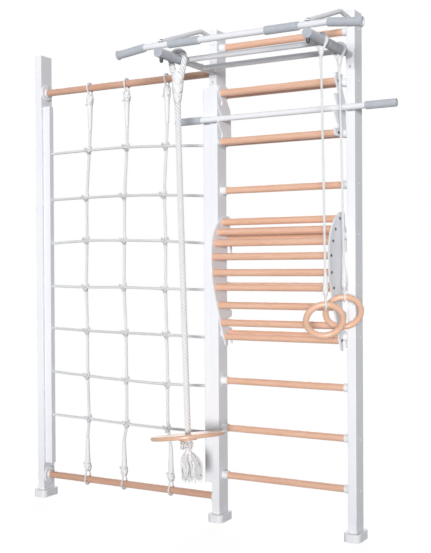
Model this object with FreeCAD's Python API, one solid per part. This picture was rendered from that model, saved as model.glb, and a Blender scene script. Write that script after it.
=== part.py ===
import FreeCAD
import Part
import math
import os

# Wall bars with a rope net, a pull-up unit, a hook-on rack and a hook-on bench.
# Lengths are in millimetres. X runs along the wall, -Y stands out into the room, Z is up.
# The origin is on the floor at the middle post's axis, and the rungs' axes lie in the plane Y = 0.

# Posts
post_width = 40
post_depth = 90
post_wall = 2
post_corner = 3
post_height = 2375
ladder_width = 704
net_width = 1085
cap_thickness = 3
cap_plug_depth = 18
cap_plug_clearance = 0.2
wall_hole_diameter = 11
wall_hole_low = 300
wall_hole_drop = 175

# Feet
foot_width = 80
foot_front = 65
foot_back = 62
foot_height = 38
foot_floor = 6
foot_corner = 26
foot_edge = 5

# Rungs
rung_count = 10
first_rung_height = 224
top_rung_drop = 81
rung_diameter = 34
sleeve_length = 30
sleeve_wall = 2.5
sleeve_clearance = 0.2
rung_bolt_diameter = 8
rung_bolt_bite = 45
rung_bolt_head_diameter = 12
rung_bolt_head_height = 5
bolt_clearance = 0.1
bolt_head_shares = [(0.0, 1.0), (0.5, 1.0), (1.0, 0.6)]

# Net bars and rails
net_bar_diameter = 36
net_bar_drop = 197
net_bar_low = 115
collar_diameter = 84
collar_thickness = 7
collar_edge = 2
collar_socket_wall = 4
collar_socket_length = 9
collar_bolt_offset = 32
collar_bolt_diameter = 6
collar_bolt_head_diameter = 12
collar_bolt_head_height = 4
rail_width = 45
rail_depth = 35
rail_setback = 2
rail_low = 185
rail_drop = 275
rail_corner = 4

# Net ropes
net_upright_diameter = 13
net_level_diameter = 12
net_rope_gap = 0.5
net_level_bite = 15
net_row_low = 430
net_row_drop = 251
net_top_neck = 36
net_top_turns = 4
net_bottom_neck = 46
net_bottom_turns = 3
net_eye_tail = 185
net_eye_join = 45
net_winding_pitch = 13.5
net_winding_clearance = 1
net_knot_width = 46
net_knot_height = 36
net_knot_wrap = 7
net_knot_edge = 3

# A knot's outline, and the lens of an eye's whipping, as shares of half the knot's width and
# height, and of the whipping's taper and the rope's diameter
knot_shares = [
    (-1.0, 0.75, 0.45), (0.0, 0.35, 0.5), (1.0, 0.75, 0.45),
    (0.75, -0.4, 0.4), (0.0, -1.0, 0.35), (-0.75, -0.4, 0.4),
]
whipping_shares = [(-0.16, 0.85), (0.0, 1.15), (0.3, 1.05), (1.0, 0.58)]
eye_waist_share = 0.3
rope_arc_share = 0.45
winding_steps = 8

# Pull-up arms and their foam grips
arm_diameter = 30
arm_wall = 2
arm_drop = 199
arm_reach = 515
arm_plate_thickness = 5
arm_plate_below = 61
arm_plate_above = 24
arm_screw_below = 51
arm_screw_diameter = 6
arm_screw_head_diameter = 12
arm_screw_head_height = 3
arm_cap_diameter = 11
arm_cap_height = 6
foam_wall = 6.5
foam_clearance = 0.1
foam_edge_share = 0.55
foam_closed_end = 5
left_grip_front = 535
left_grip_length = 200
right_grip_front = 520
right_grip_length = 190
right_grip_gap = 5
right_rear_grip_length = 200

# Front bar and its grips
front_bar_diameter = 27
front_bar_wall = 2
front_bar_reach = 505
front_bar_straight = 864
front_bar_end_length = 155
front_bar_bend_radius = 60
front_bar_droop_angle = 7
bar_seat_gap = 0.3
inner_grip_arm_gap = 40
inner_grip_length = 154
bar_grip_wall = 4.5
grip_ring_wall = 3
grip_ring_length = 8

# Cross tubes
cross_diameter = 25
cross_wall = 2
cross_front_reach = 311
cross_front_rise = 6
cross_rear_reach = 154
cross_rear_rise = -3
foam_notch_clearance = 0.5

# Braces and clamp bolts
brace_diameter = 20
brace_wall = 2
brace_peak_reach = 160
brace_peak_drop = 30
brace_bend_radius = 45
brace_rear_drop = 40
brace_tab_width = 24
brace_tab_length = 36
brace_tab_thickness = 5
brace_foot_width = 26
brace_foot_low_drop = 72
brace_foot_high_drop = 23
clamp_bolt_diameter = 8
clamp_head_diameter = 18
clamp_head_height = 7
clamp_nut_diameter = 17
clamp_nut_height = 20
cap_nut_shares = [(0.0, 1.0), (0.6, 1.0), (0.9, 0.72), (1.0, 0.3)]

# Hook plates, shared by rack and bench
plate_thickness = 8
plate_side_gap = 0.5
hook_clearance = 0.5
hook_thickness = 10
hook_edge = 4

# Rack
rack_rung_below_top_count = 1
rack_notch_count = 3
rack_floor_rise = 16.7
rack_roof_angle = 50
rack_tip_radius = 2.5
rack_front = 100
rack_top_rise = 35.5
rack_crown_setback = 8.75
rack_recess_drop = 28
rack_shoulder_drop = 79
rack_shoulder_reach = 20
rack_leg = 3
rack_bar_diameter = 34
rack_bar_reach = 64
rack_lower_bar_drop = 2
rack_bottom_drop = 18
plate_screw_diameter = 6
plate_screw_bite = 40
plate_screw_head_diameter = 12
plate_screw_head_height = 3

# Press bar
press_diameter = 27
press_wall = 2
press_reach = 72
press_length = 1120
press_middle_offset = 15
press_seat_clearance = 0.4
press_grip_diameter = 36
press_grip_length = 142

# Bench
bench_rung_below_count = 3
bench_rung_span_count = 2
bench_reach = 172
bench_top_rise = 105
bench_tail = 62
bench_back_setback = 25
bench_nape_rise = 53
bench_upper_leg = 75
bench_lower_leg = 52
bench_lobe_reach = 24
bench_lobe_radius = 14
bench_lobe_high_rise = 110
bench_lobe_low_rise = 82
bench_lobe_slope = 14
bench_waist_rise = 48
slat_diameter = 34
bench_front_shares = [
    (0.238, 1.0), (0.709, 0.917), (0.948, 0.813), (1.0, 0.684),
    (0.919, 0.485), (0.669, 0.308), (0.448, 0.150), (0.215, 0.013),
]
slat_shares = [
    (0.314, 0.952), (0.605, 0.874), (0.773, 0.789), (0.895, 0.686), (0.872, 0.568),
    (0.733, 0.458), (0.599, 0.321), (0.430, 0.187), (0.203, 0.077),
]

# Rings and their ropes
ring_outer_diameter = 182
ring_section = 27
ring_turn_angle = 29.6
ring_tilt_angle = 30
ring_rope_diameter = 10.5
ring_rope_neck = 70
ring_rope_taper = 40
ring_eye_neck = 48
ring_knot_radius = 13
ring_drop_rung_count = 5
ring_lower_front = 17
ring_lower_rear = -8
ring_reach_front = 372
ring_reach_rear = 173
ring_forward_front = -27
ring_forward_rear = -36
ring_side = -1.7
hang_clearance = 0.3

# Climbing rope
climb_diameter = 28
climb_reach = 368
climb_neck = 91
climb_taper = 75
climb_bend_drop = 276
climb_bend_reach = 372
seat_height = 457
seat_reach = 298
seat_diameter = 345
seat_thickness = 18
seat_edge = 7
seat_clearance = 0.5
seat_rest_gap = 0.3
seat_roll_angle = 7.9
seat_tip_angle = 4.1
washer_diameter = 85
washer_thickness = 12
washer_edge = 4
rope_knot_radius = 31
rope_knot_height = 52
rope_knot_shares = [(0.0, 0.62), (0.2, 0.94), (0.45, 1.0), (0.75, 0.86), (1.0, 0.55)]
tassel_radius = 52
tassel_length = 132
tassel_shares = [(0.0, 0.33), (0.15, 0.5), (0.45, 0.76), (0.8, 0.96), (1.0, 1.0)]

cut_overrun = 5


def point(x, y, z):
    return FreeCAD.Vector(x, y, z)


def box(x0, x1, y0, y1, z0, z1):
    return Part.makeBox(x1 - x0, y1 - y0, z1 - z0, point(x0, y0, z0))


def rod(start, end, diameter):
    along = end - start
    return Part.makeCylinder(diameter / 2, along.Length, start, along)


def tube(start, end, diameter, wall):
    along = (end - start).normalize() * cut_overrun
    return rod(start, end, diameter).cut(rod(start - along, end + along, diameter - 2 * wall))


def group(shapes):
    pieces = []
    for shape in shapes:
        pieces.extend(shape.Solids)
    return Part.makeCompound(pieces)


def export(name, shape):
    shape.exportStep("parts/" + name + ".step")


def rounded_wire(points, radii, closed):
    """Straight runs between the points, with an arc of its own radius at each corner."""
    count = len(points)
    corners = []
    for i in range(count):
        here = points[i]
        at_end = not closed and i in (0, count - 1)
        if at_end or radii[i] == 0:
            corners.append((here, None, here))
            continue
        into = (here - points[i - 1]).normalize()
        out = (points[(i + 1) % count] - here).normalize()
        half_turn = into.getAngle(out) / 2
        setback = radii[i] * math.tan(half_turn)
        inward = (out - into).normalize()
        middle = here + inward * (radii[i] / math.cos(half_turn) - radii[i])
        corners.append((here - into * setback, middle, here + out * setback))
    edges = []
    for i in range(count):
        start, middle, end = corners[i]
        if middle is not None:
            edges.append(Part.Arc(start, middle, end).toShape())
        if i == count - 1 and not closed:
            continue
        next_start = corners[(i + 1) % count][0]
        if (next_start - end).Length > Part.Precision.confusion():
            edges.append(Part.LineSegment(end, next_start).toShape())
    return Part.Wire(edges)


def plate_outline(corners):
    """A closed outline in the YZ plane from (y, z, corner radius) rows."""
    points = [point(0, y, z) for y, z, radius in corners]
    return rounded_wire(points, [radius for y, z, radius in corners], True)


def sweep(path, diameter):
    start_edge = path.OrderedEdges[0]
    start = start_edge.valueAt(start_edge.FirstParameter)
    along = start_edge.tangentAt(start_edge.FirstParameter)
    section = Part.Wire(Part.makeCircle(diameter / 2, start, along))
    solid = path.makePipeShell([section], True, False)
    expected = math.pi * diameter ** 2 / 4 * path.Length
    return solid, solid.Volume / expected


def rope(name, points, diameter):
    """A rope whose corners are tangent arcs as large as their runs allow."""
    radii = [0] * len(points)
    for i in range(1, len(points) - 1):
        into = points[i] - points[i - 1]
        out = points[i + 1] - points[i]
        run = min(into.Length, out.Length)
        radii[i] = rope_arc_share * run / math.tan(into.getAngle(out) / 2)
    path = rounded_wire(points, radii, False)
    solid, volume_share = sweep(path, diameter)
    print(name, "length", round(path.Length), "smallest radius", round(min(radii[1:-1]), 1),
          "volume over section times length", round(volume_share, 4))
    return solid


def eye(centre, side, along, reach, neck, spread):
    """Points of a loop round a bar, from the tail's neck to the neck that the rope leaves by."""
    octagon_share = math.tan(math.pi / 8)
    return [
        centre + side * spread + along * neck,
        centre + side * reach + along * reach * eye_waist_share,
        centre + side * reach - along * reach * octagon_share,
        centre + side * reach * octagon_share - along * reach,
        centre - side * reach * octagon_share - along * reach,
        centre - side * reach - along * reach * octagon_share,
        centre - side * reach + along * reach * eye_waist_share,
        centre - side * spread + along * neck,
    ]


def winding(start, along, side, radius, pitch, turns, diameter):
    """A rope wound round an axis in whole turns, each of eight arcs."""
    across = along.cross(side)
    half_step = math.pi / winding_steps

    def spoke(steps, reach):
        angle = 2 * half_step * steps
        outward = side * math.cos(angle) + across * math.sin(angle)
        return start + outward * reach + along * (pitch * steps / winding_steps)

    last = winding_steps * turns
    corners = [spoke(i + 0.5, radius / math.cos(half_step)) for i in range(last)]
    points = [spoke(0, radius)] + corners + [spoke(last, radius)]
    radii = [0] * len(points)
    for i in range(1, last + 1):
        into = points[i] - points[i - 1]
        out = points[i + 1] - points[i]
        run = max(into.Length, out.Length)
        radii[i] = run / 2 / math.tan(into.getAngle(out) / 2)
    solid, volume_share = sweep(rounded_wire(points, radii, False), diameter)
    print("winding gap between turns", round(pitch - diameter, 2),
          "volume over section times length", round(volume_share, 4))
    return solid


def revolved(profile, start, along):
    """A solid of revolution from (distance along the axis, radius) rows joined by straight lines."""
    points = [point(0, 0, profile[0][0])]
    points += [point(radius, 0, distance) for distance, radius in profile]
    points.append(point(0, 0, profile[-1][0]))
    outline = Part.makePolygon(points + [points[0]])
    solid = Part.Face(outline).revolve(point(0, 0, 0), point(0, 0, 1), 360)
    solid.Placement = FreeCAD.Placement(start, FreeCAD.Rotation(point(0, 0, 1), along))
    return solid


def scaled(shares, length, radius):
    return [(along * length, across * radius) for along, across in shares]


def splice(neck_point, along, diameter, taper):
    """The whipping over an eye's neck, tapering down the rope."""
    profile = scaled(whipping_shares, taper, diameter)
    return revolved(profile, neck_point, along)


def foam(start, end, inner_diameter, outer_diameter):
    """A foam sleeve with rounded ends."""
    body = rod(start, end, outer_diameter)
    rims = [edge for edge in body.Edges if edge.Closed]
    thinnest = min(outer_diameter - inner_diameter, (end - start).Length) / 2
    body = body.makeFillet(foam_edge_share * thinnest, rims)
    along = (end - start).normalize() * cut_overrun
    return body.cut(rod(start - along, end + along, inner_diameter))


left_post_x = -net_width
right_post_x = ladder_width
post_xs = [left_post_x, 0, right_post_x]
post_front_y = -post_depth / 2
rung_start_x = post_width / 2
rung_end_x = ladder_width - post_width / 2
rung_pitch = (post_height - top_rung_drop - first_rung_height) / (rung_count - 1)
rung_heights = [first_rung_height + rung_pitch * i for i in range(rung_count)]
net_bar_high = post_height - net_bar_drop
rail_high = post_height - rail_drop
arm_height = post_height - arm_drop
arm_plate_low = arm_height - arm_plate_below
arm_plate_high = arm_height + arm_plate_above
arm_screw_height = arm_height - arm_screw_below
cross_front_height = arm_height + cross_front_rise
cross_rear_height = arm_height + cross_rear_rise
brace_peak_height = post_height - brace_peak_drop
brace_rear_height = post_height - brace_rear_drop
brace_foot_low = post_height - brace_foot_low_drop
brace_foot_high = post_height - brace_foot_high_drop
climb_bend_height = arm_height - climb_bend_drop
down = point(0, 0, -1)
up = point(0, 0, 1)
x_axis = point(1, 0, 0)
y_axis = point(0, 1, 0)


def rounded_box(x0, x1, y0, y1, z0, z1, radius):
    corners = [point(x0, y0, z0), point(x1, y0, z0), point(x1, y1, z0), point(x0, y1, z0)]
    outline = rounded_wire(corners, [radius] * 4, True)
    return Part.Face(outline).extrude(point(0, 0, z1 - z0))


def make_posts():
    top = post_height - cap_thickness
    posts = []
    for x in post_xs:
        half = post_width / 2
        outer = rounded_box(x - half, x + half, -post_depth / 2, post_depth / 2,
                            foot_floor, top, post_corner)
        inner = rounded_box(x - half + post_wall, x + half - post_wall,
                            -post_depth / 2 + post_wall, post_depth / 2 - post_wall,
                            foot_floor - cut_overrun, top + cut_overrun, post_corner - post_wall)
        post = outer.cut(inner)
        for z in (wall_hole_low, post_height - wall_hole_drop):
            hole_start = point(x, post_depth / 2 - post_wall - cut_overrun, z)
            hole_end = point(x, post_depth / 2 + cut_overrun, z)
            post = post.cut(rod(hole_start, hole_end, wall_hole_diameter))
        posts.append(post)
    bolt_hole = rung_bolt_diameter + 2 * bolt_clearance
    for i in (1, 2):
        for z in rung_heights:
            start = point(post_xs[i] - post_width / 2 - cut_overrun, 0, z)
            end = point(post_xs[i] + post_width / 2 + cut_overrun, 0, z)
            posts[i] = posts[i].cut(rod(start, end, bolt_hole))
    for i, face_x, direction in ((0, left_post_x + post_width / 2, -1), (1, -post_width / 2, 1)):
        for start, end in collar_bolt_lines(face_x, direction):
            posts[i] = posts[i].cut(rod(start, end, collar_bolt_diameter + 2 * bolt_clearance))
    for name, post in zip(("post_left", "post_middle", "post_right"), posts):
        export(name, post)


def collar_bolt_lines(face_x, direction):
    """Axes of the bolts in two net collars, from the collar's face through the post's wall."""
    lines = []
    for z in (net_bar_high, net_bar_low):
        for side in (-1, 1):
            bolt_z = z + side * collar_bolt_offset
            start = point(face_x - direction * collar_thickness, 0, bolt_z)
            end = point(face_x + direction * (post_wall + cut_overrun), 0, bolt_z)
            lines.append((start, end))
    return lines


def make_caps():
    caps = []
    for x in post_xs:
        half = post_width / 2
        plate = rounded_box(x - half, x + half, -post_depth / 2, post_depth / 2,
                            post_height - cap_thickness, post_height, post_corner)
        inset = post_wall + cap_plug_clearance
        plug = rounded_box(x - half + inset, x + half - inset,
                           -post_depth / 2 + inset, post_depth / 2 - inset,
                           post_height - cap_thickness - cap_plug_depth,
                           post_height - cap_thickness, post_corner - post_wall)
        caps.append(plate.fuse(plug).removeSplitter())
    export("post_caps", group(caps))


def make_feet():
    feet = []
    for x in post_xs:
        foot = rounded_box(x - foot_width / 2, x + foot_width / 2, -foot_front, foot_back,
                           0, foot_height, foot_corner)
        top_edges = [edge for edge in foot.Edges if edge.BoundBox.ZMin > foot_height - foot_edge]
        foot = foot.makeFillet(foot_edge, top_edges)
        pocket = rounded_box(x - post_width / 2, x + post_width / 2, -post_depth / 2, post_depth / 2,
                             foot_floor, foot_height + cut_overrun, post_corner)
        feet.append(foot.cut(pocket))
    export("feet", group(feet))


def make_rungs():
    sleeves = []
    bolts = []
    bore = rung_bolt_diameter + 2 * bolt_clearance
    for i, z in enumerate(rung_heights):
        rung = rod(point(rung_start_x, 0, z), point(rung_end_x, 0, z), rung_diameter)
        for x, inward in ((rung_start_x, 1), (rung_end_x, -1)):
            rung = rung.cut(rod(point(x, 0, z), point(x + inward * (rung_bolt_bite + cut_overrun), 0, z),
                                bore))
            sleeve_bore = rung_diameter + 2 * sleeve_clearance
            sleeves.append(tube(point(x, 0, z), point(x + inward * sleeve_length, 0, z),
                                sleeve_bore + 2 * sleeve_wall, sleeve_wall))
        export("rung_%02d" % (i + 1), rung)
        left_start = point(-post_width / 2, 0, z)
        left_end = point(rung_start_x + rung_bolt_bite, 0, z)
        bolts.append(rod(left_start, left_end, rung_bolt_diameter))
        outer_x = right_post_x + post_width / 2
        shank = rod(point(rung_end_x - rung_bolt_bite, 0, z), point(outer_x, 0, z), rung_bolt_diameter)
        dome = scaled(bolt_head_shares, rung_bolt_head_height, rung_bolt_head_diameter / 2)
        head = revolved(dome, point(outer_x, 0, z), x_axis)
        bolts.append(shank.fuse(head).removeSplitter())
    export("rung_sleeves", group(sleeves))
    export("rung_bolts", group(bolts))


def make_net_frame():
    left_face = left_post_x + post_width / 2
    right_face = -post_width / 2
    for name, z in (("net_bar_top", net_bar_high), ("net_bar_bottom", net_bar_low)):
        export(name, rod(point(left_face, 0, z), point(right_face, 0, z), net_bar_diameter))
    collars = []
    bolts = []
    for face_x, inward in ((left_face, 1), (right_face, -1)):
        lines = collar_bolt_lines(face_x, -inward)
        for z in (net_bar_high, net_bar_low):
            socket = net_bar_diameter / 2 + collar_socket_wall
            disc = revolved([(0, collar_diameter / 2),
                             (collar_thickness - collar_edge, collar_diameter / 2),
                             (collar_thickness, collar_diameter / 2 - collar_edge),
                             (collar_thickness, socket),
                             (collar_thickness + collar_socket_length, socket)],
                            point(face_x, 0, z), x_axis * inward)
            overrun = x_axis * inward * cut_overrun
            bar_start = point(face_x, 0, z) - overrun
            bar_end = point(face_x, 0, z) + x_axis * inward * (collar_thickness + collar_socket_length)
            collar = disc.cut(rod(bar_start, bar_end + overrun,
                                  net_bar_diameter + 2 * sleeve_clearance))
            for start, end in lines:
                if abs(start.z - z) < collar_diameter:
                    collar = collar.cut(rod(start, end, collar_bolt_diameter + 2 * bolt_clearance))
            collars.append(collar)
        for start, end in lines:
            head_end = start + x_axis * inward * collar_bolt_head_height
            shank = rod(start, end + x_axis * inward * cut_overrun, collar_bolt_diameter)
            head = rod(start, head_end, collar_bolt_head_diameter)
            bolts.append(shank.fuse(head).removeSplitter())
    export("net_bar_flanges", group(collars))
    export("net_flange_bolts", group(bolts))


# Net layout: columns as shares of the bay's width from the middle post, and each crossing's
# slack as shares of the row pitch, from the bottom row to the top row.
column_shares = [0.733, 0.510, 0.279]
column_top_shares = [0.093, 0.068, 0.042]
column_bottom_shares = [-0.034, -0.063, 0.085]
slack_x_shares = [
    (0.017, 0.017, 0.008), (-0.025, 0.013, 0.013), (-0.017, 0.008, 0.0), (-0.047, -0.042, -0.030),
    (-0.013, -0.021, -0.008), (-0.021, -0.017, -0.051), (0.068, 0.063, 0.017),
]
slack_z_shares = [
    (0.034, -0.004, -0.025), (-0.011, -0.053, -0.087), (-0.004, -0.021, -0.030),
    (-0.040, -0.023, -0.057), (0.013, -0.008, -0.034), (-0.036, -0.036, -0.057),
    (0.008, 0.013, -0.030),
]
level_end_shares = [
    (0.063, -0.013), (0.044, -0.053), (0.034, -0.055), (-0.010, -0.065),
    (-0.046, -0.110), (-0.057, -0.129), (-0.013, -0.093),
]
net_row_count = 7
net_row_pitch = (rail_high - net_row_drop - net_row_low) / (net_row_count - 1)
upright_y = 0
level_y = -(net_upright_diameter + net_level_diameter) / 2 - net_rope_gap


def crossing(row, column):
    x = -column_shares[column] * net_width + slack_x_shares[row][column] * net_row_pitch
    z = net_row_low + (row + slack_z_shares[row][column]) * net_row_pitch
    return x, z


def make_net():
    eye_reach = net_bar_diameter / 2 + net_upright_diameter / 2 + hang_clearance
    spread = (net_upright_diameter + net_rope_gap) / 2
    uprights = []
    windings = []
    for column in range(len(column_shares)):
        x = -column_shares[column] * net_width
        top = point(x + column_top_shares[column] * net_row_pitch, upright_y, net_bar_high)
        bottom = point(x + column_bottom_shares[column] * net_row_pitch, upright_y, net_bar_low)
        route = [top + y_axis * spread + down * net_eye_tail]
        route += eye(top, y_axis, down, eye_reach, net_top_neck, spread)
        route.append(top - y_axis * spread + down * net_eye_tail)
        route.append(top + down * (net_eye_tail + net_eye_join))
        for row in reversed(range(net_row_count)):
            knot_x, knot_z = crossing(row, column)
            route.append(point(knot_x, upright_y, knot_z))
        route.append(bottom + up * (net_eye_tail + net_eye_join))
        route.append(bottom - y_axis * spread + up * net_eye_tail)
        route += reversed(eye(bottom, y_axis, up, eye_reach, net_bottom_neck, spread))
        route.append(bottom + y_axis * spread + up * net_eye_tail)
        name = "net_rope_vertical_%d" % (column + 1)
        upright = rope(name, route, net_upright_diameter)
        uprights.append(upright)
        export(name, upright)
        winding_reach = spread + net_upright_diameter + net_winding_clearance
        for centre, along, neck, turns in ((top, down, net_top_neck, net_top_turns),
                                           (bottom, up, net_bottom_neck, net_bottom_turns)):
            start = centre + along * (neck + net_upright_diameter / 2)
            windings.append(winding(start, along, x_axis, winding_reach, net_winding_pitch,
                                    turns, net_upright_diameter))
    levels = []
    for row in range(net_row_count):
        left_x = left_post_x + post_width / 2 + rail_width - net_level_bite
        right_x = -post_width / 2 - rail_width + net_level_bite
        left_z = net_row_low + (row + level_end_shares[row][0]) * net_row_pitch
        right_z = net_row_low + (row + level_end_shares[row][1]) * net_row_pitch
        route = [point(left_x, level_y, left_z)]
        for column in range(len(column_shares)):
            knot_x, knot_z = crossing(row, column)
            route.append(point(knot_x, level_y, knot_z))
        route.append(point(right_x, level_y, right_z))
        levels.append(rope("net level rope", route, net_level_diameter))
    export("net_rope_horizontals", group(levels))
    knots = []
    for row in range(net_row_count):
        for column in range(len(column_shares)):
            knot = knot_body(*crossing(row, column))
            knots.append(knot.cut(uprights[column]).cut(levels[row]))
    export("net_knots", group(knots + windings))
    make_rails(levels)


def knot_body(x, z):
    """A heart-shaped knot over a crossing, round at its edges."""
    half = net_knot_width / 2
    high = net_knot_height / 2
    rows = [(across * half, rise * high, round_ * high) for across, rise, round_ in knot_shares]
    front_y = level_y - net_level_diameter / 2 - net_knot_wrap
    back_y = upright_y + net_upright_diameter / 2 + net_knot_wrap
    points = [point(x + dx, front_y, z + dz) for dx, dz, radius in rows]
    outline = rounded_wire(points, [radius for dx, dz, radius in rows], True)
    body = Part.Face(outline).extrude(point(0, back_y - front_y, 0))
    rims = [edge for edge in body.Edges if edge.BoundBox.YLength < net_knot_edge]
    return body.makeFillet(net_knot_edge, rims)


def make_rails(levels):
    rails = []
    for x0 in (left_post_x + post_width / 2, -post_width / 2 - rail_width):
        rail = rounded_box(x0, x0 + rail_width, rail_setback - rail_depth, rail_setback,
                           rail_low, rail_high, rail_corner)
        for level in levels:
            rail = rail.cut(level)
        rails.append(rail)
    export("net_rails", group(rails))


arm_front_y = -arm_reach
bar_y = -front_bar_reach
foam_diameter = arm_diameter + 2 * foam_wall + 2 * foam_clearance
bar_z = arm_height + foam_diameter / 2 + front_bar_diameter / 2 + bar_seat_gap
bar_middle_x = ladder_width / 2
tab_z = bar_z + front_bar_diameter / 2 + bar_seat_gap
plate_face_y = post_front_y - arm_plate_thickness
clamp_hole = clamp_bolt_diameter + 2 * bolt_clearance


def clamp_line(x, overrun):
    low = arm_height - foam_diameter / 2 - overrun
    return point(x, bar_y, low), point(x, bar_y, tab_z + brace_tab_thickness + overrun)


def drill_clamp(shape):
    for x in (0, right_post_x):
        shape = shape.cut(rod(*clamp_line(x, cut_overrun), clamp_hole))
    return shape


def make_arms():
    plates = []
    screws = []
    for name, x in (("arm_left", 0), ("arm_right", right_post_x)):
        arm = tube(point(x, plate_face_y, arm_height), point(x, arm_front_y, arm_height),
                   arm_diameter, arm_wall)
        arm = drill_clamp(arm)
        if x == 0:
            cap_low = point(x, -cross_rear_reach, arm_height)
            cap_seat = cap_low + up * arm_diameter / 2
            hole = arm_screw_diameter + 2 * bolt_clearance
            arm = arm.cut(rod(cap_low, cap_seat + up * cut_overrun, hole))
            cap = rod(cap_seat, cap_seat + up * arm_cap_height, arm_cap_diameter)
            shank = rod(cap_low, cap_seat, arm_screw_diameter)
            screws.append(shank.fuse(cap).removeSplitter())
        export(name, arm)
        plate = box(x - post_width / 2, x + post_width / 2, plate_face_y, post_front_y,
                    arm_plate_low, arm_plate_high)
        upright_edges = [edge for edge in plate.Edges
                         if edge.BoundBox.YLength > arm_plate_thickness / 2]
        plate = plate.makeFillet(post_corner, upright_edges)
        screw_start = point(x, plate_face_y, arm_screw_height)
        hole_end = screw_start + y_axis * arm_plate_thickness
        plates.append(plate.cut(rod(screw_start, hole_end, arm_screw_diameter + 2 * bolt_clearance)))
        shank = rod(screw_start, hole_end, arm_screw_diameter)
        head = rod(screw_start - y_axis * arm_screw_head_height, screw_start,
                   arm_screw_head_diameter)
        screws.append(shank.fuse(head).removeSplitter())
    export("arm_plates", group(plates))
    export("arm_screws", group(screws))


def arm_foam(x, front, length, closed_front):
    bore = arm_diameter + 2 * foam_clearance
    start = point(x, -front, arm_height)
    end = point(x, -front + length, arm_height)
    sleeve = foam(start, end, bore, foam_diameter)
    if closed_front:
        end_disc = rod(point(x, -front + foam_closed_end, arm_height),
                       point(x, arm_front_y, arm_height), bore)
        sleeve = sleeve.fuse(end_disc).removeSplitter()
    return sleeve


def make_neutral_grips():
    left = arm_foam(0, left_grip_front, left_grip_length, True)
    export("grip_neutral_left", drill_clamp(left))
    front = arm_foam(right_post_x, right_grip_front, right_grip_length, False)
    rear_start = right_grip_front - right_grip_length - right_grip_gap
    rear = arm_foam(right_post_x, rear_start, right_rear_grip_length, False)
    notch = cross_diameter + 2 * foam_notch_clearance
    for reach, height in ((cross_front_reach, cross_front_height),
                          (cross_rear_reach, cross_rear_height)):
        rear = rear.cut(rod(point(right_post_x - foam_diameter, -reach, height),
                            point(right_post_x, -reach, height), notch))
    export("grip_neutral_right", group([drill_clamp(front), rear]))


def make_cross_tubes():
    for name, reach, height in (("cross_tube_front", cross_front_reach, cross_front_height),
                                ("cross_tube_rear", cross_rear_reach, cross_rear_height)):
        cross = tube(point(0, -reach, height), point(right_post_x, -reach, height),
                     cross_diameter, cross_wall)
        for x in (0, right_post_x):
            cross = cross.cut(rod(point(x, plate_face_y, arm_height),
                                  point(x, arm_front_y, arm_height), arm_diameter))
        export(name, Part.makeCompound([max(cross.Solids, key=lambda solid: solid.Volume)]))


def bar_end(side):
    """The bend point and the tip of the front bar on one side."""
    bend = point(bar_middle_x + side * front_bar_straight / 2, bar_y, bar_z)
    droop = math.radians(front_bar_droop_angle)
    outward = point(side * math.cos(droop), 0, -math.sin(droop))
    return bend, bend + outward * front_bar_end_length


def make_front_bar():
    left_bend, left_tip = bar_end(-1)
    right_bend, right_tip = bar_end(1)
    radii = [0, front_bar_bend_radius, front_bar_bend_radius, 0]
    path = rounded_wire([left_tip, left_bend, right_bend, right_tip], radii, False)
    outer, outer_share = sweep(path, front_bar_diameter)
    inner, inner_share = sweep(path, front_bar_diameter - 2 * front_bar_wall)
    export("front_bar", drill_clamp(outer.cut(inner)))
    bore = front_bar_diameter + 2 * foam_clearance
    grip = bore + 2 * bar_grip_wall
    outers = []
    inners = []
    for side in (-1, 1):
        near_x = bar_middle_x + side * (ladder_width / 2 - inner_grip_arm_gap - inner_grip_length)
        near = point(near_x, bar_y, bar_z)
        inners.append(foam(near, near + x_axis * side * inner_grip_length, bore, grip))
        bend, tip = bar_end(side)
        along = (tip - bend).normalize()
        start = bend + along * front_bar_bend_radius * math.tan(math.radians(front_bar_droop_angle))
        ring_start = tip - along * grip_ring_length
        sleeve = foam(start, ring_start, bore, grip)
        ring = foam(ring_start, tip, bore, grip + 2 * grip_ring_wall)
        outers.extend([sleeve, ring])
    export("grips_outer", group(outers))
    export("grips_inner", group(inners))


def make_braces():
    braces = []
    for x in (0, right_post_x):
        tab_rear_y = bar_y + brace_tab_length / 2
        tab_top = tab_z + brace_tab_thickness
        front = point(x, tab_rear_y - brace_diameter / 2, tab_top)
        peak = point(x, -brace_peak_reach, brace_peak_height)
        rear = point(x, plate_face_y, brace_rear_height)
        path = rounded_wire([front, peak, rear], [0, brace_bend_radius, 0], False)
        outer, outer_share = sweep(path, brace_diameter)
        inner, inner_share = sweep(path, brace_diameter - 2 * brace_wall)
        tab = box(x - brace_tab_width / 2, x + brace_tab_width / 2, bar_y - brace_tab_length / 2,
                  tab_rear_y, tab_z, tab_top)
        below_tab = box(x - foam_diameter, x + foam_diameter, bar_y - foam_diameter,
                        bar_y + foam_diameter * 2, tab_z - foam_diameter, tab_z)
        foot = box(x - brace_foot_width / 2, x + brace_foot_width / 2, plate_face_y, post_front_y,
                   brace_foot_low, brace_foot_high)
        beam = outer.cut(inner).cut(below_tab)
        braces.append(beam.fuse([tab, foot]).removeSplitter())
    export("braces", group([drill_clamp(brace) for brace in braces]))


def make_clamp_bolts():
    bolts = []
    for x in (0, right_post_x):
        low, high = clamp_line(x, 0)
        shank = rod(low, high, clamp_bolt_diameter)
        head = revolved(scaled(bolt_head_shares, clamp_head_height, clamp_head_diameter / 2),
                        high, up)
        nut = revolved(scaled(cap_nut_shares, clamp_nut_height, clamp_nut_diameter / 2), low, down)
        bolts.append(shank.fuse([head, nut]).removeSplitter())
    export("clamp_bolts", group(bolts))


plate_xs = [rung_start_x + sleeve_length + plate_side_gap,
            rung_end_x - sleeve_length - plate_side_gap - plate_thickness]
between_start_x = plate_xs[0] + plate_thickness
between_end_x = plate_xs[1]
hook_inner = rung_diameter / 2 + hook_clearance


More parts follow.
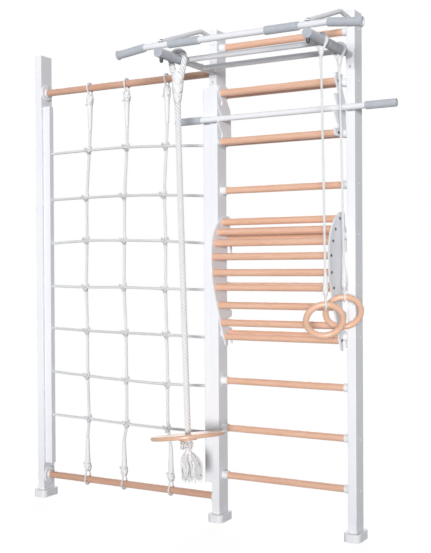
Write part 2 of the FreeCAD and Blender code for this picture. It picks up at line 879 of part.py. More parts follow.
def plates_from(outline, names):
    for name, x in zip(names, plate_xs):
        plate = Part.Face(outline).extrude(point(plate_thickness, 0, 0))
        plate.translate(point(x, 0, 0))
        yield name, plate


def cross_bars(places, diameter):
    """Wooden bars between the two hook plates, and the screws through the plates into them."""
    bars = []
    screws = []
    bore = plate_screw_diameter + 2 * bolt_clearance
    outer_xs = (plate_xs[0], plate_xs[1] + plate_thickness)
    for y, z in places:
        bar = rod(point(between_start_x, y, z), point(between_end_x, y, z), diameter)
        for x, inward in zip(outer_xs, (1, -1)):
            seat = point(x, y, z)
            deep = seat + x_axis * inward * (plate_thickness + plate_screw_bite)
            bar = bar.cut(rod(seat, deep + x_axis * inward * cut_overrun, bore))
            head = rod(seat - x_axis * inward * plate_screw_head_height, seat,
                       plate_screw_head_diameter)
            screws.append(rod(seat, deep, plate_screw_diameter).fuse(head).removeSplitter())
        bars.append(bar)
    return bars, screws


def drill_plates(plates, places):
    bore = plate_screw_diameter + 2 * bolt_clearance
    for name, plate in plates:
        for y, z in places:
            start = point(plate.BoundBox.XMin - cut_overrun, y, z)
            end = point(plate.BoundBox.XMax + cut_overrun, y, z)
            plate = plate.cut(rod(start, end, bore))
        export(name, plate)


hook_outer = hook_inner + hook_thickness


def hook_rows(z, leg, tip_radius):
    """The outline of a hook over the rung at z, from its leg's outer tip round to its front."""
    return [
        (hook_outer, z - leg, hook_edge),
        (hook_inner, z - leg, tip_radius),
        (hook_inner, z + hook_inner, hook_inner),
        (-hook_inner, z + hook_inner, hook_inner),
    ]


rack_upper_z = rung_heights[-1 - rack_rung_below_top_count]
rack_lower_z = rung_heights[-2 - rack_rung_below_top_count]
rack_notch_pitch = rung_pitch / rack_notch_count
notch_radius = press_diameter / 2 + press_seat_clearance
roof_slope = math.tan(math.radians(rack_roof_angle))
notch_apex_y = -press_reach + notch_radius / math.tan(math.radians(rack_roof_angle / 2))
tooth_tip_y = notch_apex_y - rack_notch_pitch / roof_slope
notch_floors = [rack_lower_z + rack_floor_rise + rack_notch_pitch * i
                for i in range(rack_notch_count)]


def make_rack():
    top_z = rack_upper_z + rack_top_rise
    brow_z = notch_floors[-1] + (notch_apex_y + rack_front) * roof_slope
    corners = [
        (-rack_crown_setback, top_z, hook_edge * 2),
        (-rack_crown_setback, rack_upper_z + hook_inner, hook_edge / 2),
        (-hook_inner, rack_upper_z + hook_inner, hook_edge),
        (-hook_inner, rack_upper_z - rack_recess_drop, hook_inner),
        (rack_shoulder_reach, rack_upper_z - rack_shoulder_drop, 2 * hook_inner),
        (hook_outer, rack_lower_z + hook_inner, hook_edge),
    ]
    corners += hook_rows(rack_lower_z, rack_leg, rack_tip_radius)
    corners += [(-hook_inner, rack_lower_z - rack_bottom_drop, hook_edge * 2),
                (-rack_front + hook_inner / 2, rack_lower_z - rack_bottom_drop, hook_edge * 3)]
    for floor_z in notch_floors:
        corners += [(tooth_tip_y, floor_z, rack_tip_radius), (notch_apex_y, floor_z, notch_radius)]
    corners += [(-rack_front, brow_z, hook_edge), (-rack_front + hook_inner / 2, top_z, hook_edge * 3)]
    outline = plate_outline(corners)
    places = [(-rack_bar_reach, rack_upper_z),
              (-rack_bar_reach, rack_lower_z - rack_lower_bar_drop)]
    drill_plates(plates_from(outline, ("rack_plate_left", "rack_plate_right")), places)
    bars, screws = cross_bars(places, rack_bar_diameter)
    export("rack_bar_upper", bars[0])
    export("rack_bar_lower", bars[1])
    export("rack_bar_screws", group(screws))


def make_press_bar():
    z = notch_floors[1] + notch_radius
    middle_x = ladder_width / 2 + press_middle_offset
    start = point(middle_x - press_length / 2, -press_reach, z)
    end = point(middle_x + press_length / 2, -press_reach, z)
    export("press_bar", tube(start, end, press_diameter, press_wall))
    bore = press_diameter + 2 * foam_clearance
    grips = [foam(start, start + x_axis * press_grip_length, bore, press_grip_diameter),
             foam(end - x_axis * press_grip_length, end, bore, press_grip_diameter)]
    export("press_grips", group(grips))


bench_upper_z = rung_heights[bench_rung_below_count + bench_rung_span_count]
bench_lower_z = rung_heights[bench_rung_below_count]
bench_low = bench_lower_z - bench_tail
bench_height = bench_upper_z + bench_top_rise - bench_low


def bench_place(share):
    return -share[0] * bench_reach, bench_low + share[1] * bench_height


def make_bench():
    front = [point(0, *bench_place(share)) for share in bench_front_shares]
    curve = Part.BSplineCurve()
    curve.interpolate(front)
    top = front[0]
    lobe_high = bench_lower_z + bench_lobe_high_rise
    lobe_low = bench_lower_z + bench_lobe_low_rise
    waist = bench_lower_z + bench_waist_rise
    rear = [(top.y, top.z, 0), (hook_inner / 2, top.z, hook_inner),
            (hook_inner / 2, bench_upper_z + bench_nape_rise, hook_inner),
            (hook_outer, bench_upper_z + hook_outer, hook_inner)]
    rear += hook_rows(bench_upper_z, bench_upper_leg, hook_edge)
    rear += [
        (-hook_inner, bench_upper_z - bench_upper_leg, hook_edge),
        (-bench_back_setback, bench_upper_z - bench_upper_leg - hook_outer, hook_edge),
        (-bench_back_setback, lobe_high + bench_lobe_slope, hook_edge * 2),
        (bench_lobe_reach, lobe_high, bench_lobe_radius),
        (bench_lobe_reach, lobe_low, bench_lobe_radius),
        (-bench_back_setback, lobe_low - bench_lobe_slope, hook_edge * 2),
        (-bench_back_setback, waist, hook_edge * 2),
        (0, bench_lower_z + hook_outer, hook_edge),
        (hook_outer, bench_lower_z + hook_outer, hook_inner),
    ]
    rear += hook_rows(bench_lower_z, bench_lower_leg, hook_edge)
    rear += [(-hook_inner, bench_low, hook_edge / 2), (front[-1].y, front[-1].z, 0)]
    points = [point(0, y, z) for y, z, radius in rear]
    rear_wire = rounded_wire(points, [radius for y, z, radius in rear], False)
    outline = Part.Wire(Part.__sortEdges__(rear_wire.Edges + [curve.toShape()]))
    places = [bench_place(share) for share in slat_shares]
    drill_plates(plates_from(outline, ("bench_plate_left", "bench_plate_right")), places)
    bars, screws = cross_bars(places, slat_diameter)
    export("bench_slats", group(bars))
    export("bench_slat_screws", group(screws))


def make_ring(which, reach, forward, drop):
    """A wooden ring, its rope, and the rope's whippings; the rope hangs over the right grip."""
    turn = math.radians(ring_turn_angle)
    tilt = math.radians(ring_tilt_angle)
    across = point(math.cos(turn), math.sin(turn), 0)
    rise = point(math.sin(turn) * math.sin(tilt), -math.cos(turn) * math.sin(tilt), math.cos(tilt))
    centre = point(right_post_x + ring_side, -reach - forward, arm_height - drop)
    mid_radius = (ring_outer_diameter - ring_section) / 2
    ring = Part.makeTorus(mid_radius, ring_section / 2)
    ring.Placement = FreeCAD.Placement(centre, FreeCAD.Rotation(up, across.cross(rise)))
    export("ring_" + which, ring)
    hanger = point(right_post_x, -reach, arm_height)
    held = centre + rise * mid_radius
    radius = ring_rope_diameter / 2
    spread = radius + net_rope_gap / 2
    top_eye = eye(hanger, x_axis, down, foam_diameter / 2 + radius + hang_clearance,
                  ring_rope_neck, spread)
    low_eye = eye(held, across.cross(up), up, ring_section / 2 + radius + hang_clearance,
                  ring_eye_neck, spread)
    upper_join = hanger + down * (ring_rope_neck + ring_rope_taper)
    lower_join = held + up * (ring_eye_neck + ring_rope_taper)
    route = top_eye + [upper_join, lower_join] + list(reversed(low_eye))
    name = "ring_rope_" + which
    line = rope(name, route, ring_rope_diameter)
    wrap = splice(hanger + down * ring_rope_neck, down, ring_rope_diameter, ring_rope_taper)
    ball = Part.makeSphere(ring_knot_radius, held + up * ring_eye_neck)
    export(name, group([line, wrap.cut(line), ball.cut(line)]))


def make_climbing_rope():
    hanger = point(0, -climb_reach, arm_height)
    radius = climb_diameter / 2
    top_eye = eye(hanger, x_axis, down, foam_diameter / 2 + radius + hang_clearance,
                  climb_neck, radius + net_rope_gap / 2)
    bend = point(0, -climb_bend_reach, climb_bend_height)
    seat = point(0, -seat_reach, seat_height)
    rope_up = (bend - seat).normalize()
    seat_up = point(-math.tan(math.radians(seat_roll_angle)),
                    math.tan(math.radians(seat_tip_angle)), 1).normalize()
    down_share = 1 / rope_up.dot(seat_up)
    stack = seat_thickness / 2 + seat_rest_gap + washer_thickness
    lowest = seat - rope_up * stack * down_share
    join = hanger + down * (climb_neck + climb_taper)
    below = rod(lowest, lowest - seat_up * rope_knot_height, seat_diameter)
    above = rod(lowest, lowest + seat_up * rope_knot_height, seat_diameter)
    line = rope("climbing_rope", top_eye + [join, bend, lowest - rope_up * cut_overrun], climb_diameter)
    line = line.cut(below)
    wrap = splice(hanger + down * climb_neck, down, climb_diameter, climb_taper)
    export("climbing_rope", group([line, wrap.cut(line)]))
    disc = rod(seat - seat_up * seat_thickness / 2, seat + seat_up * seat_thickness / 2, seat_diameter)
    disc = disc.makeFillet(seat_edge, [edge for edge in disc.Edges if edge.Closed])
    overrun = rope_up * (stack + cut_overrun)
    seat_hole = rod(seat - overrun, seat + overrun, climb_diameter + 2 * seat_clearance)
    export("seat_disc", disc.cut(seat_hole))
    washer = rod(lowest, lowest + seat_up * washer_thickness, washer_diameter)
    washer = washer.makeFillet(washer_edge, [edge for edge in washer.Edges if edge.Closed])
    washer_hole = rod(lowest - overrun, lowest + overrun, climb_diameter + 2 * sleeve_clearance)
    export("seat_washer", washer.cut(washer_hole))
    knot = revolved(scaled(rope_knot_shares, rope_knot_height, rope_knot_radius),
                    lowest + rope_up * cut_overrun, rope_up * -1)
    export("rope_knot", knot.cut(above))
    tassel_top = lowest + rope_up * (cut_overrun - rope_knot_height)
    tassel = revolved(scaled(tassel_shares, tassel_length, tassel_radius),
                      tassel_top, rope_up * -1)
    export("rope_tassel", tassel)


os.makedirs("parts", exist_ok=True)
make_posts()
make_caps()
make_feet()
make_rungs()
make_net_frame()
make_net()
make_arms()
make_neutral_grips()
make_cross_tubes()
make_front_bar()
make_braces()
make_clamp_bolts()
make_rack()
make_press_bar()
make_bench()
ring_drop = ring_drop_rung_count * rung_pitch
make_ring("front", ring_reach_front, ring_forward_front, ring_drop + ring_lower_front)
make_ring("rear", ring_reach_rear, ring_forward_rear, ring_drop + ring_lower_rear)
make_climbing_rope()
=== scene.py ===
import bpy
import math
import random
import numpy as np
from mathutils import Matrix, Vector


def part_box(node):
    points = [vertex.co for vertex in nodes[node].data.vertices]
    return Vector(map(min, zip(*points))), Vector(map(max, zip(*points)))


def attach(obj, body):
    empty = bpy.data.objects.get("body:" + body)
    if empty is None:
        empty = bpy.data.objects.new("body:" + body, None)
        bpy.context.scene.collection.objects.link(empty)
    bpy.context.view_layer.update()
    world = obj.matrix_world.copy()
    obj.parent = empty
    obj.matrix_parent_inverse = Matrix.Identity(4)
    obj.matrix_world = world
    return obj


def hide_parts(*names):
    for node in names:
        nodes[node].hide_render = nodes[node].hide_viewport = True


# Looks of the wall bars: paint, beech, foam grips, net, ring ropes and climbing rope.
# Lengths are in metres in the frame's own axes: X along the wall, -Y out into the room and Z up.

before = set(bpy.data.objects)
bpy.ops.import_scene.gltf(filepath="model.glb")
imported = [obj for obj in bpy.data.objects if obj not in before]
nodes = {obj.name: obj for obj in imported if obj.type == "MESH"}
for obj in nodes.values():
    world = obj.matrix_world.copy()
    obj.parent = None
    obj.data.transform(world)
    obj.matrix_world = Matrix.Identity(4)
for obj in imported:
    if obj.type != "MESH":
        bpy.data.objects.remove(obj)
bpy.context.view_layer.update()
mm = 0.001

# Sizes repeated from the frame's source
net_width = 1.085
ladder_width = 0.704
rung_count = 10
post_half_width = 0.020
rail_width = 0.045
net_bar_high = 2.178
net_bar_low = 0.115
net_upright_diameter = 0.013
net_level_diameter = 0.012
net_level_bite = 0.015
net_level_y = -0.013
net_row_low = 0.430
net_row_pitch = 0.2365
net_eye_reach = 0.0254
net_eye_spread = 0.00675
net_eye_tail = 0.185
net_eye_join = 0.045
net_top_neck = 0.036
net_top_turns = 4
net_bottom_neck = 0.046
net_bottom_turns = 3
net_winding_pitch = 0.0135
arm_height = 2.176
arm_diameter = 0.030
foam_diameter = 0.0432
bar_y = -0.505
bar_z = 2.2114
bar_middle_x = ladder_width / 2
bar_diameter = 0.027

# Net layout, as shares of the bay's width and of the row pitch
column_shares = [0.733, 0.510, 0.279]
column_top_shares = [0.093, 0.068, 0.042]
column_bottom_shares = [-0.034, -0.063, 0.085]
slack_x_shares = [
    (0.017, 0.017, 0.008), (-0.025, 0.013, 0.013), (-0.017, 0.008, 0.0), (-0.047, -0.042, -0.030),
    (-0.013, -0.021, -0.008), (-0.021, -0.017, -0.051), (0.068, 0.063, 0.017),
]
slack_z_shares = [
    (0.034, -0.004, -0.025), (-0.011, -0.053, -0.087), (-0.004, -0.021, -0.030),
    (-0.040, -0.023, -0.057), (0.013, -0.008, -0.034), (-0.036, -0.036, -0.057),
    (0.008, 0.013, -0.030),
]
level_end_shares = [
    (0.063, -0.013), (0.044, -0.053), (0.034, -0.055), (-0.010, -0.065),
    (-0.046, -0.110), (-0.057, -0.129), (-0.013, -0.093),
]

# Camera, in the photograph's place
camera_place = Vector((2.28553, -4.04989, 1.23685))
camera_yaw = math.radians(29.6435)
camera_pitch = math.radians(-0.6006)
camera_roll = math.radians(-0.3134)
camera_lens = 62.15
camera_sensor = 36

x_axis = Vector((1, 0, 0))
y_axis = Vector((0, 1, 0))
up = Vector((0, 0, 1))
down = Vector((0, 0, -1))


def make_camera():
    data = bpy.data.cameras.new("camera")
    data.sensor_fit = "VERTICAL"
    data.sensor_height = camera_sensor
    data.lens = camera_lens
    camera = bpy.data.objects.new("camera", data)
    forward = Vector((-math.sin(camera_yaw) * math.cos(camera_pitch),
                      math.cos(camera_yaw) * math.cos(camera_pitch), math.sin(camera_pitch)))
    level_right = Vector((math.cos(camera_yaw), math.sin(camera_yaw), 0))
    level_up = level_right.cross(forward)
    right = level_right * math.cos(camera_roll) + level_up * math.sin(camera_roll)
    camera_up = level_up * math.cos(camera_roll) - level_right * math.sin(camera_roll)
    turn = Matrix((right, camera_up, -forward)).transposed()
    camera.matrix_world = Matrix.Translation(camera_place) @ turn.to_4x4()
    bpy.context.scene.collection.objects.link(camera)
    bpy.context.scene.camera = camera


# Materials

white = (1.0, 1.0, 1.0)
beech_fleck = (0.86, 0.80, 0.74)
ring_bend_radius = 0.08
yarn_scale = 260.0
yarn_gap_shade = 0.90


class Tree:
    """A material's node tree with short calls for its nodes."""

    def __init__(self, name):
        self.material = bpy.data.materials.new(name)
        self.material.use_nodes = True
        self.tree = self.material.node_tree
        self.shader = self.tree.nodes["Principled BSDF"]

    def add(self, kind, **settings):
        node = self.tree.nodes.new("ShaderNode" + kind)
        for key, value in settings.items():
            setattr(node, key, value)
        return node

    def link(self, output, target):
        self.tree.links.new(output, target)

    def feed(self, socket, value):
        if isinstance(value, bpy.types.NodeSocket):
            self.link(value, socket)
        else:
            socket.default_value = value

    def put(self, node, **values):
        """Links or sets a node's inputs, each named by its keyword."""
        for key, value in values.items():
            self.feed(node.inputs[key.replace("_", " ")], value)

    def place(self, rotation=(0, 0, 0), location=(0, 0, 0)):
        """Object coordinates after a mapping."""
        coordinates = self.add("TexCoord")
        mapping = self.add("Mapping")
        self.put(mapping, Rotation=rotation, Location=location)
        self.link(coordinates.outputs["Object"], mapping.inputs["Vector"])
        return mapping.outputs["Vector"]

    def stretched(self, vector, scale):
        mapping = self.add("Mapping")
        self.put(mapping, Vector=vector, Scale=scale)
        return mapping.outputs[0]

    def noise(self, vector, scale, detail=3.0, roughness=0.5, distortion=0.0):
        node = self.add("TexNoise")
        self.put(node, Vector=vector, Scale=scale, Detail=detail, Roughness=roughness,
                 Distortion=distortion)
        return node.outputs["Fac"]

    def ramp(self, value, *stops):
        """A colour ramp from (position, colour) stops."""
        node = self.add("ValToRGB")
        elements = node.color_ramp.elements
        while len(elements) < len(stops):
            elements.new(0.5)
        for element, (position, colour) in zip(elements, stops):
            element.position = position
            element.color = (*colour, 1) if len(colour) == 3 else colour
        self.link(value, node.inputs["Fac"])
        return node.outputs["Color"]

    def math(self, operation, a, b=0.0):
        node = self.add("Math", operation=operation)
        for socket, value in zip(node.inputs, (a, b)):
            self.feed(socket, value)
        return node.outputs["Value"]

    def mix(self, factor, a, b, blend="MIX"):
        node = self.add("Mix", data_type="RGBA", blend_type=blend)
        for index, value in ((0, factor), (6, a), (7, b)):
            self.feed(node.inputs[index], (*value, 1) if isinstance(value, tuple) else value)
        return node.outputs[2]

    def bump(self, height, distance, strength=0.5, normal=None):
        node = self.add("Bump")
        self.put(node, Height=height, Distance=distance, Strength=strength)
        if normal is not None:
            self.link(normal, node.inputs["Normal"])
        return node.outputs["Normal"]

    def finish(self, **values):
        self.put(self.shader, **values)
        return self.material


def crevice_shade(tree, colour, distance, floor_shade):
    """Darkens a colour a little where surfaces meet closely: painted shade, read from ambient occlusion.
    """
    occlusion = tree.add("AmbientOcclusion", samples=8)
    tree.put(occlusion, Distance=distance)
    shade = tree.ramp(occlusion.outputs["AO"], (0.0, (floor_shade,) * 3), (0.75, white))
    return tree.mix(1.0, colour, shade, "MULTIPLY")


def uneven_rough(tree, pattern, spread, least):
    """A roughness that follows a pattern, from 'least' up by 'spread'."""
    return tree.math("ADD", tree.math("MULTIPLY", pattern, spread), least)


def painted_steel():
    tree = Tree("white_powder_coat")
    here = tree.place()
    tone = tree.ramp(tree.noise(here, scale=6.0, detail=4.0),
                     (0.3, (0.865, 0.875, 0.91)), (0.7, (0.90, 0.91, 0.935)))
    peel = tree.noise(here, scale=900.0, detail=2.0)
    wave = tree.noise(here, scale=60.0, detail=2.0)
    normal = tree.bump(wave, distance=0.0004, strength=0.25)
    normal = tree.bump(peel, distance=0.00012, normal=normal)
    rough = uneven_rough(tree, tree.noise(here, scale=25.0), 0.12, 0.78)
    return tree.finish(Base_Color=crevice_shade(tree, tone, distance=0.006, floor_shade=0.72),
                       Roughness=rough, Normal=normal, IOR=1.45)


def white_plastic():
    tree = Tree("white_moulding")
    here = tree.place()
    tone = tree.ramp(tree.noise(here, scale=12.0, detail=4.0),
                     (0.3, (0.85, 0.86, 0.885)), (0.7, (0.885, 0.89, 0.905)))
    grain = tree.noise(here, scale=1400.0)
    normal = tree.bump(grain, distance=0.00015, strength=0.6)
    return tree.finish(Base_Color=crevice_shade(tree, tone, distance=0.008, floor_shade=0.7),
                       Roughness=0.48, Normal=normal, IOR=1.46)


def round_the_ring(tree, here):
    """Coordinates bent so that X runs round the Z axis and Y runs out from it."""
    split = tree.add("SeparateXYZ")
    tree.link(here, split.inputs[0])
    squared = tree.math("ADD", tree.math("MULTIPLY", split.outputs["X"], split.outputs["X"]),
                        tree.math("MULTIPLY", split.outputs["Y"], split.outputs["Y"]))
    turn = tree.math("ARCTAN2", split.outputs["Y"], split.outputs["X"])
    join = tree.add("CombineXYZ")
    tree.link(tree.math("MULTIPLY", turn, ring_bend_radius), join.inputs["X"])
    tree.link(tree.math("SQRT", squared), join.inputs["Y"])
    tree.link(split.outputs["Z"], join.inputs["Z"])
    return join.outputs[0]


def beech(name, along=(0.0, 0.0, 0.0), location=(0, 0, 0), laminated=False, depth=1.0):
    """Varnished beech; 'along' turns the grain from X, and a laminated piece has rings of strips."""
    tree = Tree(name)
    here = tree.place(rotation=along, location=location)
    if laminated:
        here = round_the_ring(tree, here)
    grain = tree.noise(tree.stretched(here, (4.0, 90.0, 90.0)), scale=1.0, detail=6.0,
                       roughness=0.6, distortion=0.4)
    pores = tree.noise(tree.stretched(here, (25.0, 700.0, 700.0)), scale=1.0, roughness=0.7)
    patch = tree.noise(here, scale=5.0, detail=2.0)
    figure = tree.ramp(grain, (0.25, (0.80, 0.47, 0.32)), (0.5, (0.85, 0.53, 0.385)),
                       (0.8, (0.88, 0.585, 0.445)))
    flecks = tree.ramp(pores, (0.36, beech_fleck), (0.5, white))
    tone = tree.mix(1.0, figure, flecks, "MULTIPLY")
    shift = tree.ramp(patch, (0.3, (0.95, 0.93, 0.91)), (0.7, white))
    tone = tree.mix(1.0, tone, shift, "MULTIPLY")
    tone = tree.mix(1.0, tone, (depth, depth ** 1.25, depth ** 1.25), "MULTIPLY")
    if laminated:
        strip = tree.add("TexWave", wave_type="BANDS", bands_direction="Y")
        tree.put(strip, Vector=here, Scale=110.0, Distortion=0.4, Detail=1.0)
        line = tree.ramp(strip.outputs["Fac"], (0.0, beech_fleck), (0.16, white))
        tone = tree.mix(1.0, tone, line, "MULTIPLY")
    normal = tree.bump(grain, distance=0.0003, strength=0.3)
    normal = tree.bump(pores, distance=0.00012, normal=normal)
    return tree.finish(Base_Color=tone, Roughness=uneven_rough(tree, grain, 0.16, 0.26),
                       Normal=normal, IOR=1.48, Coat_Weight=0.15, Coat_Roughness=0.35)


def foam_material():
    tree = Tree("grey_foam")
    here = tree.place()
    tone = tree.ramp(tree.noise(here, scale=40.0, detail=5.0, roughness=0.6),
                     (0.3, (0.46, 0.49, 0.54)), (0.7, (0.53, 0.56, 0.61)))
    cells = tree.add("TexVoronoi", feature="SMOOTH_F1")
    tree.put(cells, Vector=here, Scale=900.0)
    normal = tree.bump(tree.noise(here, scale=90.0), distance=0.0008, strength=0.4)
    normal = tree.bump(cells.outputs["Distance"], distance=0.0003, strength=0.6, normal=normal)
    return tree.finish(Base_Color=tone, Roughness=0.72, Normal=normal, IOR=1.4, Sheen_Weight=0.45,
                       Sheen_Roughness=0.6)


def rope_material(name, colour, gap_shade, deep=0.55, shallow=0.88, yarns=3.0,
                  hollow_shade=0.70, hollow=0.008):
    """White fibre with slanting yarns and painted shade in the grooves between them. The gaps between
    strands get painted shade from 'shallow' to 'deep', as shares of the rope's radius, and so do
    hollows up to 'hollow' wide."""
    tree = Tree(name)
    uv = tree.add("UVMap", uv_map="strand")
    turned = tree.stretched(uv.outputs[0], (yarns, yarn_scale, 1.0))
    wave = tree.add("TexWave", wave_type="BANDS", bands_direction="DIAGONAL")
    tree.put(wave, Vector=turned, Scale=0.5, Distortion=1.2, Detail=2.0, Detail_Scale=2.0)
    here = tree.place()
    fuzz = tree.noise(here, scale=1500.0)
    blotch = tree.noise(here, scale=30.0)
    # Painted shade in the grooves between yarns
    shade_between_yarns = tuple(channel * yarn_gap_shade for channel in colour)
    tone = tree.ramp(wave.outputs["Fac"], (0.0, shade_between_yarns), (0.55, colour))
    soil = tree.ramp(blotch, (0.3, (0.95, 0.95, 0.955)), (0.7, white))
    tone = tree.mix(1.0, tone, soil, "MULTIPLY")
    # Painted shade in the gaps between strands, by each point's depth toward the rope's core
    depth = tree.add("Attribute", attribute_name="depth")
    gap = tree.ramp(depth.outputs["Fac"], (deep, (gap_shade, gap_shade, gap_shade * 1.02)),
                    (shallow, white))
    tone = tree.mix(1.0, tone, gap, "MULTIPLY")
    normal = tree.bump(fuzz, distance=0.0003)
    normal = tree.bump(wave.outputs["Fac"], distance=0.0006, strength=0.6, normal=normal)
    return tree.finish(Base_Color=crevice_shade(tree, tone, hollow, hollow_shade), Roughness=0.8,
                       Normal=normal, IOR=1.4, Sheen_Weight=0.2, Sheen_Roughness=0.5)


def bolt_metal(name, low, high, metallic, grain_scale, rough_scale, least_rough):
    """Metal of bolts with a fine uneven finish between two tones."""
    tree = Tree(name)
    here = tree.place()
    tone = tree.ramp(tree.noise(here, scale=grain_scale, detail=4.0), (0.3, low), (0.7, high))
    rough = uneven_rough(tree, tree.noise(here, scale=rough_scale), 0.3, least_rough)
    normal = tree.bump(tree.noise(here, scale=1800.0, detail=2.0), distance=0.0001)
    return tree.finish(Base_Color=tone, Metallic=metallic, Roughness=rough, Normal=normal)


# Meshes

# Of strands: their squeeze past a loose fit, their weave in a plait and their cover of its girth
strand_squeeze_share = 1.04
plait_weave_share = 0.44
plait_cover_share = 0.80
route_resolution = 20
eye_waist_share = 0.3
# A direction that no line here starts along
slanting = (0.31, 0.87, 0.38)


def read_route(route):
    """Points on the smooth curve that a route's points control."""
    curve = bpy.data.curves.new("route", "CURVE")
    curve.dimensions = "3D"
    curve.resolution_u = route_resolution
    spline = curve.splines.new("NURBS")
    spline.points.add(len(route) - 1)
    for control, place in zip(spline.points, route):
        control.co = (*place, 1)
    spline.order_u = 3
    spline.use_endpoint_u = True
    holder = bpy.data.objects.new("route", curve)
    mesh = bpy.data.meshes.new_from_object(holder)
    points = np.array([vertex.co for vertex in mesh.vertices], float)
    bpy.data.meshes.remove(mesh)
    bpy.data.objects.remove(holder)
    bpy.data.curves.remove(curve)
    return points


def travelled(points):
    """The distance along a line at each of its points."""
    gaps = np.linalg.norm(np.diff(points, axis=0), axis=1)
    return np.concatenate([[0], np.cumsum(gaps)])


def evenly(points, step):
    """The same line with points a step apart."""
    distance = travelled(points)
    count = max(2, int(round(distance[-1] / step)) + 1)
    wanted = np.linspace(0, distance[-1], count)
    return np.stack([np.interp(wanted, distance, points[:, i]) for i in range(3)], axis=1)


def between(wanted, rows):
    """The values at the wanted places, read between (place, value) rows."""
    places, values = zip(*rows)
    return np.interp(wanted, places, values)


def directions(points):
    """The line's direction at each point."""
    tangents = np.gradient(points, axis=0)
    return tangents / np.linalg.norm(tangents, axis=1)[:, None]


def travel_frames(points):
    """Two normals at each point of a line, turning as little as they can."""
    tangents = directions(points)
    first = np.cross(tangents[0], slanting)
    normals = [first / np.linalg.norm(first)]
    for tangent in tangents[1:]:
        carried = normals[-1] - tangent * (normals[-1] @ tangent)
        normals.append(carried / np.linalg.norm(carried))
    normals = np.array(normals)
    return normals, np.cross(tangents, normals)


def facing_frames(points, outward):
    """Two normals at each point of a line, the first as near to 'outward' as it can be."""
    tangents = directions(points)
    normals = outward - tangents * np.sum(outward * tangents, axis=1)[:, None]
    normals /= np.linalg.norm(normals, axis=1)[:, None]
    return normals, np.cross(tangents, normals)


class Shape:
    """Vertices, faces, strand UVs and depths in the rope, gathered from several tubes."""

    def __init__(self):
        self.points = []
        self.depths = []
        self.faces = []
        self.uvs = []
        self.count = 0

    def tube(self, line, radii, sides, outward=None, width=1.0, axis=None, reach=1.0):
        """A closed tube round a line; 'axis' and 'reach' are the middle and the radius of its rope."""
        normals, others = travel_frames(line) if outward is None else facing_frames(line, outward)
        radii = np.broadcast_to(np.asarray(radii, float), (len(line),))
        angles = np.arange(sides) * 2 * math.pi / sides
        across = (np.cos(angles)[None, :, None] * normals[:, None, :]
                  + width * np.sin(angles)[None, :, None] * others[:, None, :])
        rings = line[:, None, :] + across * radii[:, None, None]
        if axis is None:
            self.depths.append(np.ones(len(line) * sides))
        else:
            away = np.linalg.norm(rings - axis[:, None, :], axis=2)
            self.depths.append((away / np.reshape(reach, (-1, 1))).ravel())
        self.points.append(rings.reshape(-1, 3))
        self.skin(sides, travelled(line), closed=True)

    def skin(self, sides, along, closed):
        """Faces and UVs over new rings of points, one ring for each distance in 'along'."""
        start = self.count
        self.count += len(along) * sides
        for i in range(len(along) - 1):
            low, high = start + i * sides, start + (i + 1) * sides
            for j in range(sides):
                k = (j + 1) % sides
                self.faces.append((low + j, low + k, high + k, high + j))
                u, u_next = j / sides, (j + 1) / sides
                self.uvs.extend(((u, along[i]), (u_next, along[i]),
                                 (u_next, along[i + 1]), (u, along[i + 1])))
        if closed:
            for i, turned in ((0, True), (len(along) - 1, False)):
                ring = [start + i * sides + j for j in range(sides)]
                self.faces.append(tuple(reversed(ring)) if turned else tuple(ring))
                self.uvs.extend([(0.5, along[i])] * sides)

    def rope(self, line, diameter, count, lay, sides, hand=1, phase=0.0):
        """Strands twisted round a line."""
        ratio = 1 / math.sin(math.pi / count)
        reach = np.broadcast_to(np.asarray(diameter, float) / 2, (len(line),))
        strand = reach / (1 + ratio)
        normals, others = travel_frames(line)
        along = travelled(line)
        for i in range(count):
            angle = (phase + 2 * math.pi * (i / count + hand * along / lay))[:, None]
            spoke = np.cos(angle) * normals + np.sin(angle) * others
            self.tube(line + (strand * ratio)[:, None] * spoke, strand * strand_squeeze_share, sides,
                      axis=line, reach=reach)

    def plait(self, line, diameter, pairs, lay, sides, phase=0.0, thickness_share=0.49):
        """Strands plaited round a line, 'pairs' each way, over one and under one."""
        reach = np.broadcast_to(np.asarray(diameter, float) / 2, (len(line),))
        thick = reach * thickness_share
        weave = thick * plait_weave_share
        middle = reach - weave - thick / 2
        wide = 2 * math.pi * (middle + weave) / pairs * plait_cover_share
        normals, others = travel_frames(line)
        along = travelled(line)
        for hand in (1, -1):
            for i in range(pairs):
                turn = 2 * math.pi * (i / pairs + hand * along / lay)
                out = (middle + weave * hand * np.cos(pairs * turn))[:, None]
                angle = (turn + phase)[:, None]
                spoke = np.cos(angle) * normals + np.sin(angle) * others
                self.tube(line + out * spoke, thick / 2, sides, outward=spoke,
                          width=float(np.mean(wide / thick)), axis=line, reach=reach)

    def lathe(self, start, along, rows, sides, wobble, seed):
        """A surface of revolution from (distance, radius) rows, closed unless it starts at the axis."""
        rng = random.Random(seed)
        along = Vector(along).normalized()
        side = along.orthogonal().normalized()
        other = along.cross(side)
        for distance, radius in rows:
            for j in range(sides):
                angle = 2 * math.pi * j / sides
                reach = radius + (rng.uniform(-wobble, wobble) if radius else 0)
                spot = Vector(start) + along * distance
                spot += (side * math.cos(angle) + other * math.sin(angle)) * reach
                self.points.append(np.array([spot]))
                self.depths.append(np.ones(1))
        self.skin(sides, [distance for distance, radius in rows], closed=rows[0][1] > 0)

    def make(self, name, material):
        """The gathered mesh as an object in the scene."""
        mesh = bpy.data.meshes.new(name)
        mesh.from_pydata(np.concatenate(self.points).tolist(), [], self.faces)
        layer = mesh.uv_layers.new(name="strand")
        layer.data.foreach_set("uv", np.array(self.uvs, np.float32).ravel())
        depth = mesh.attributes.new("depth", "FLOAT", "POINT")
        depth.data.foreach_set("value", np.concatenate(self.depths).astype(np.float32))
        mesh.polygons.foreach_set("use_smooth", [True] * len(mesh.polygons))
        mesh.materials.append(material)
        mesh.update()
        piece = bpy.data.objects.new(name, mesh)
        bpy.context.scene.collection.objects.link(piece)
        return piece


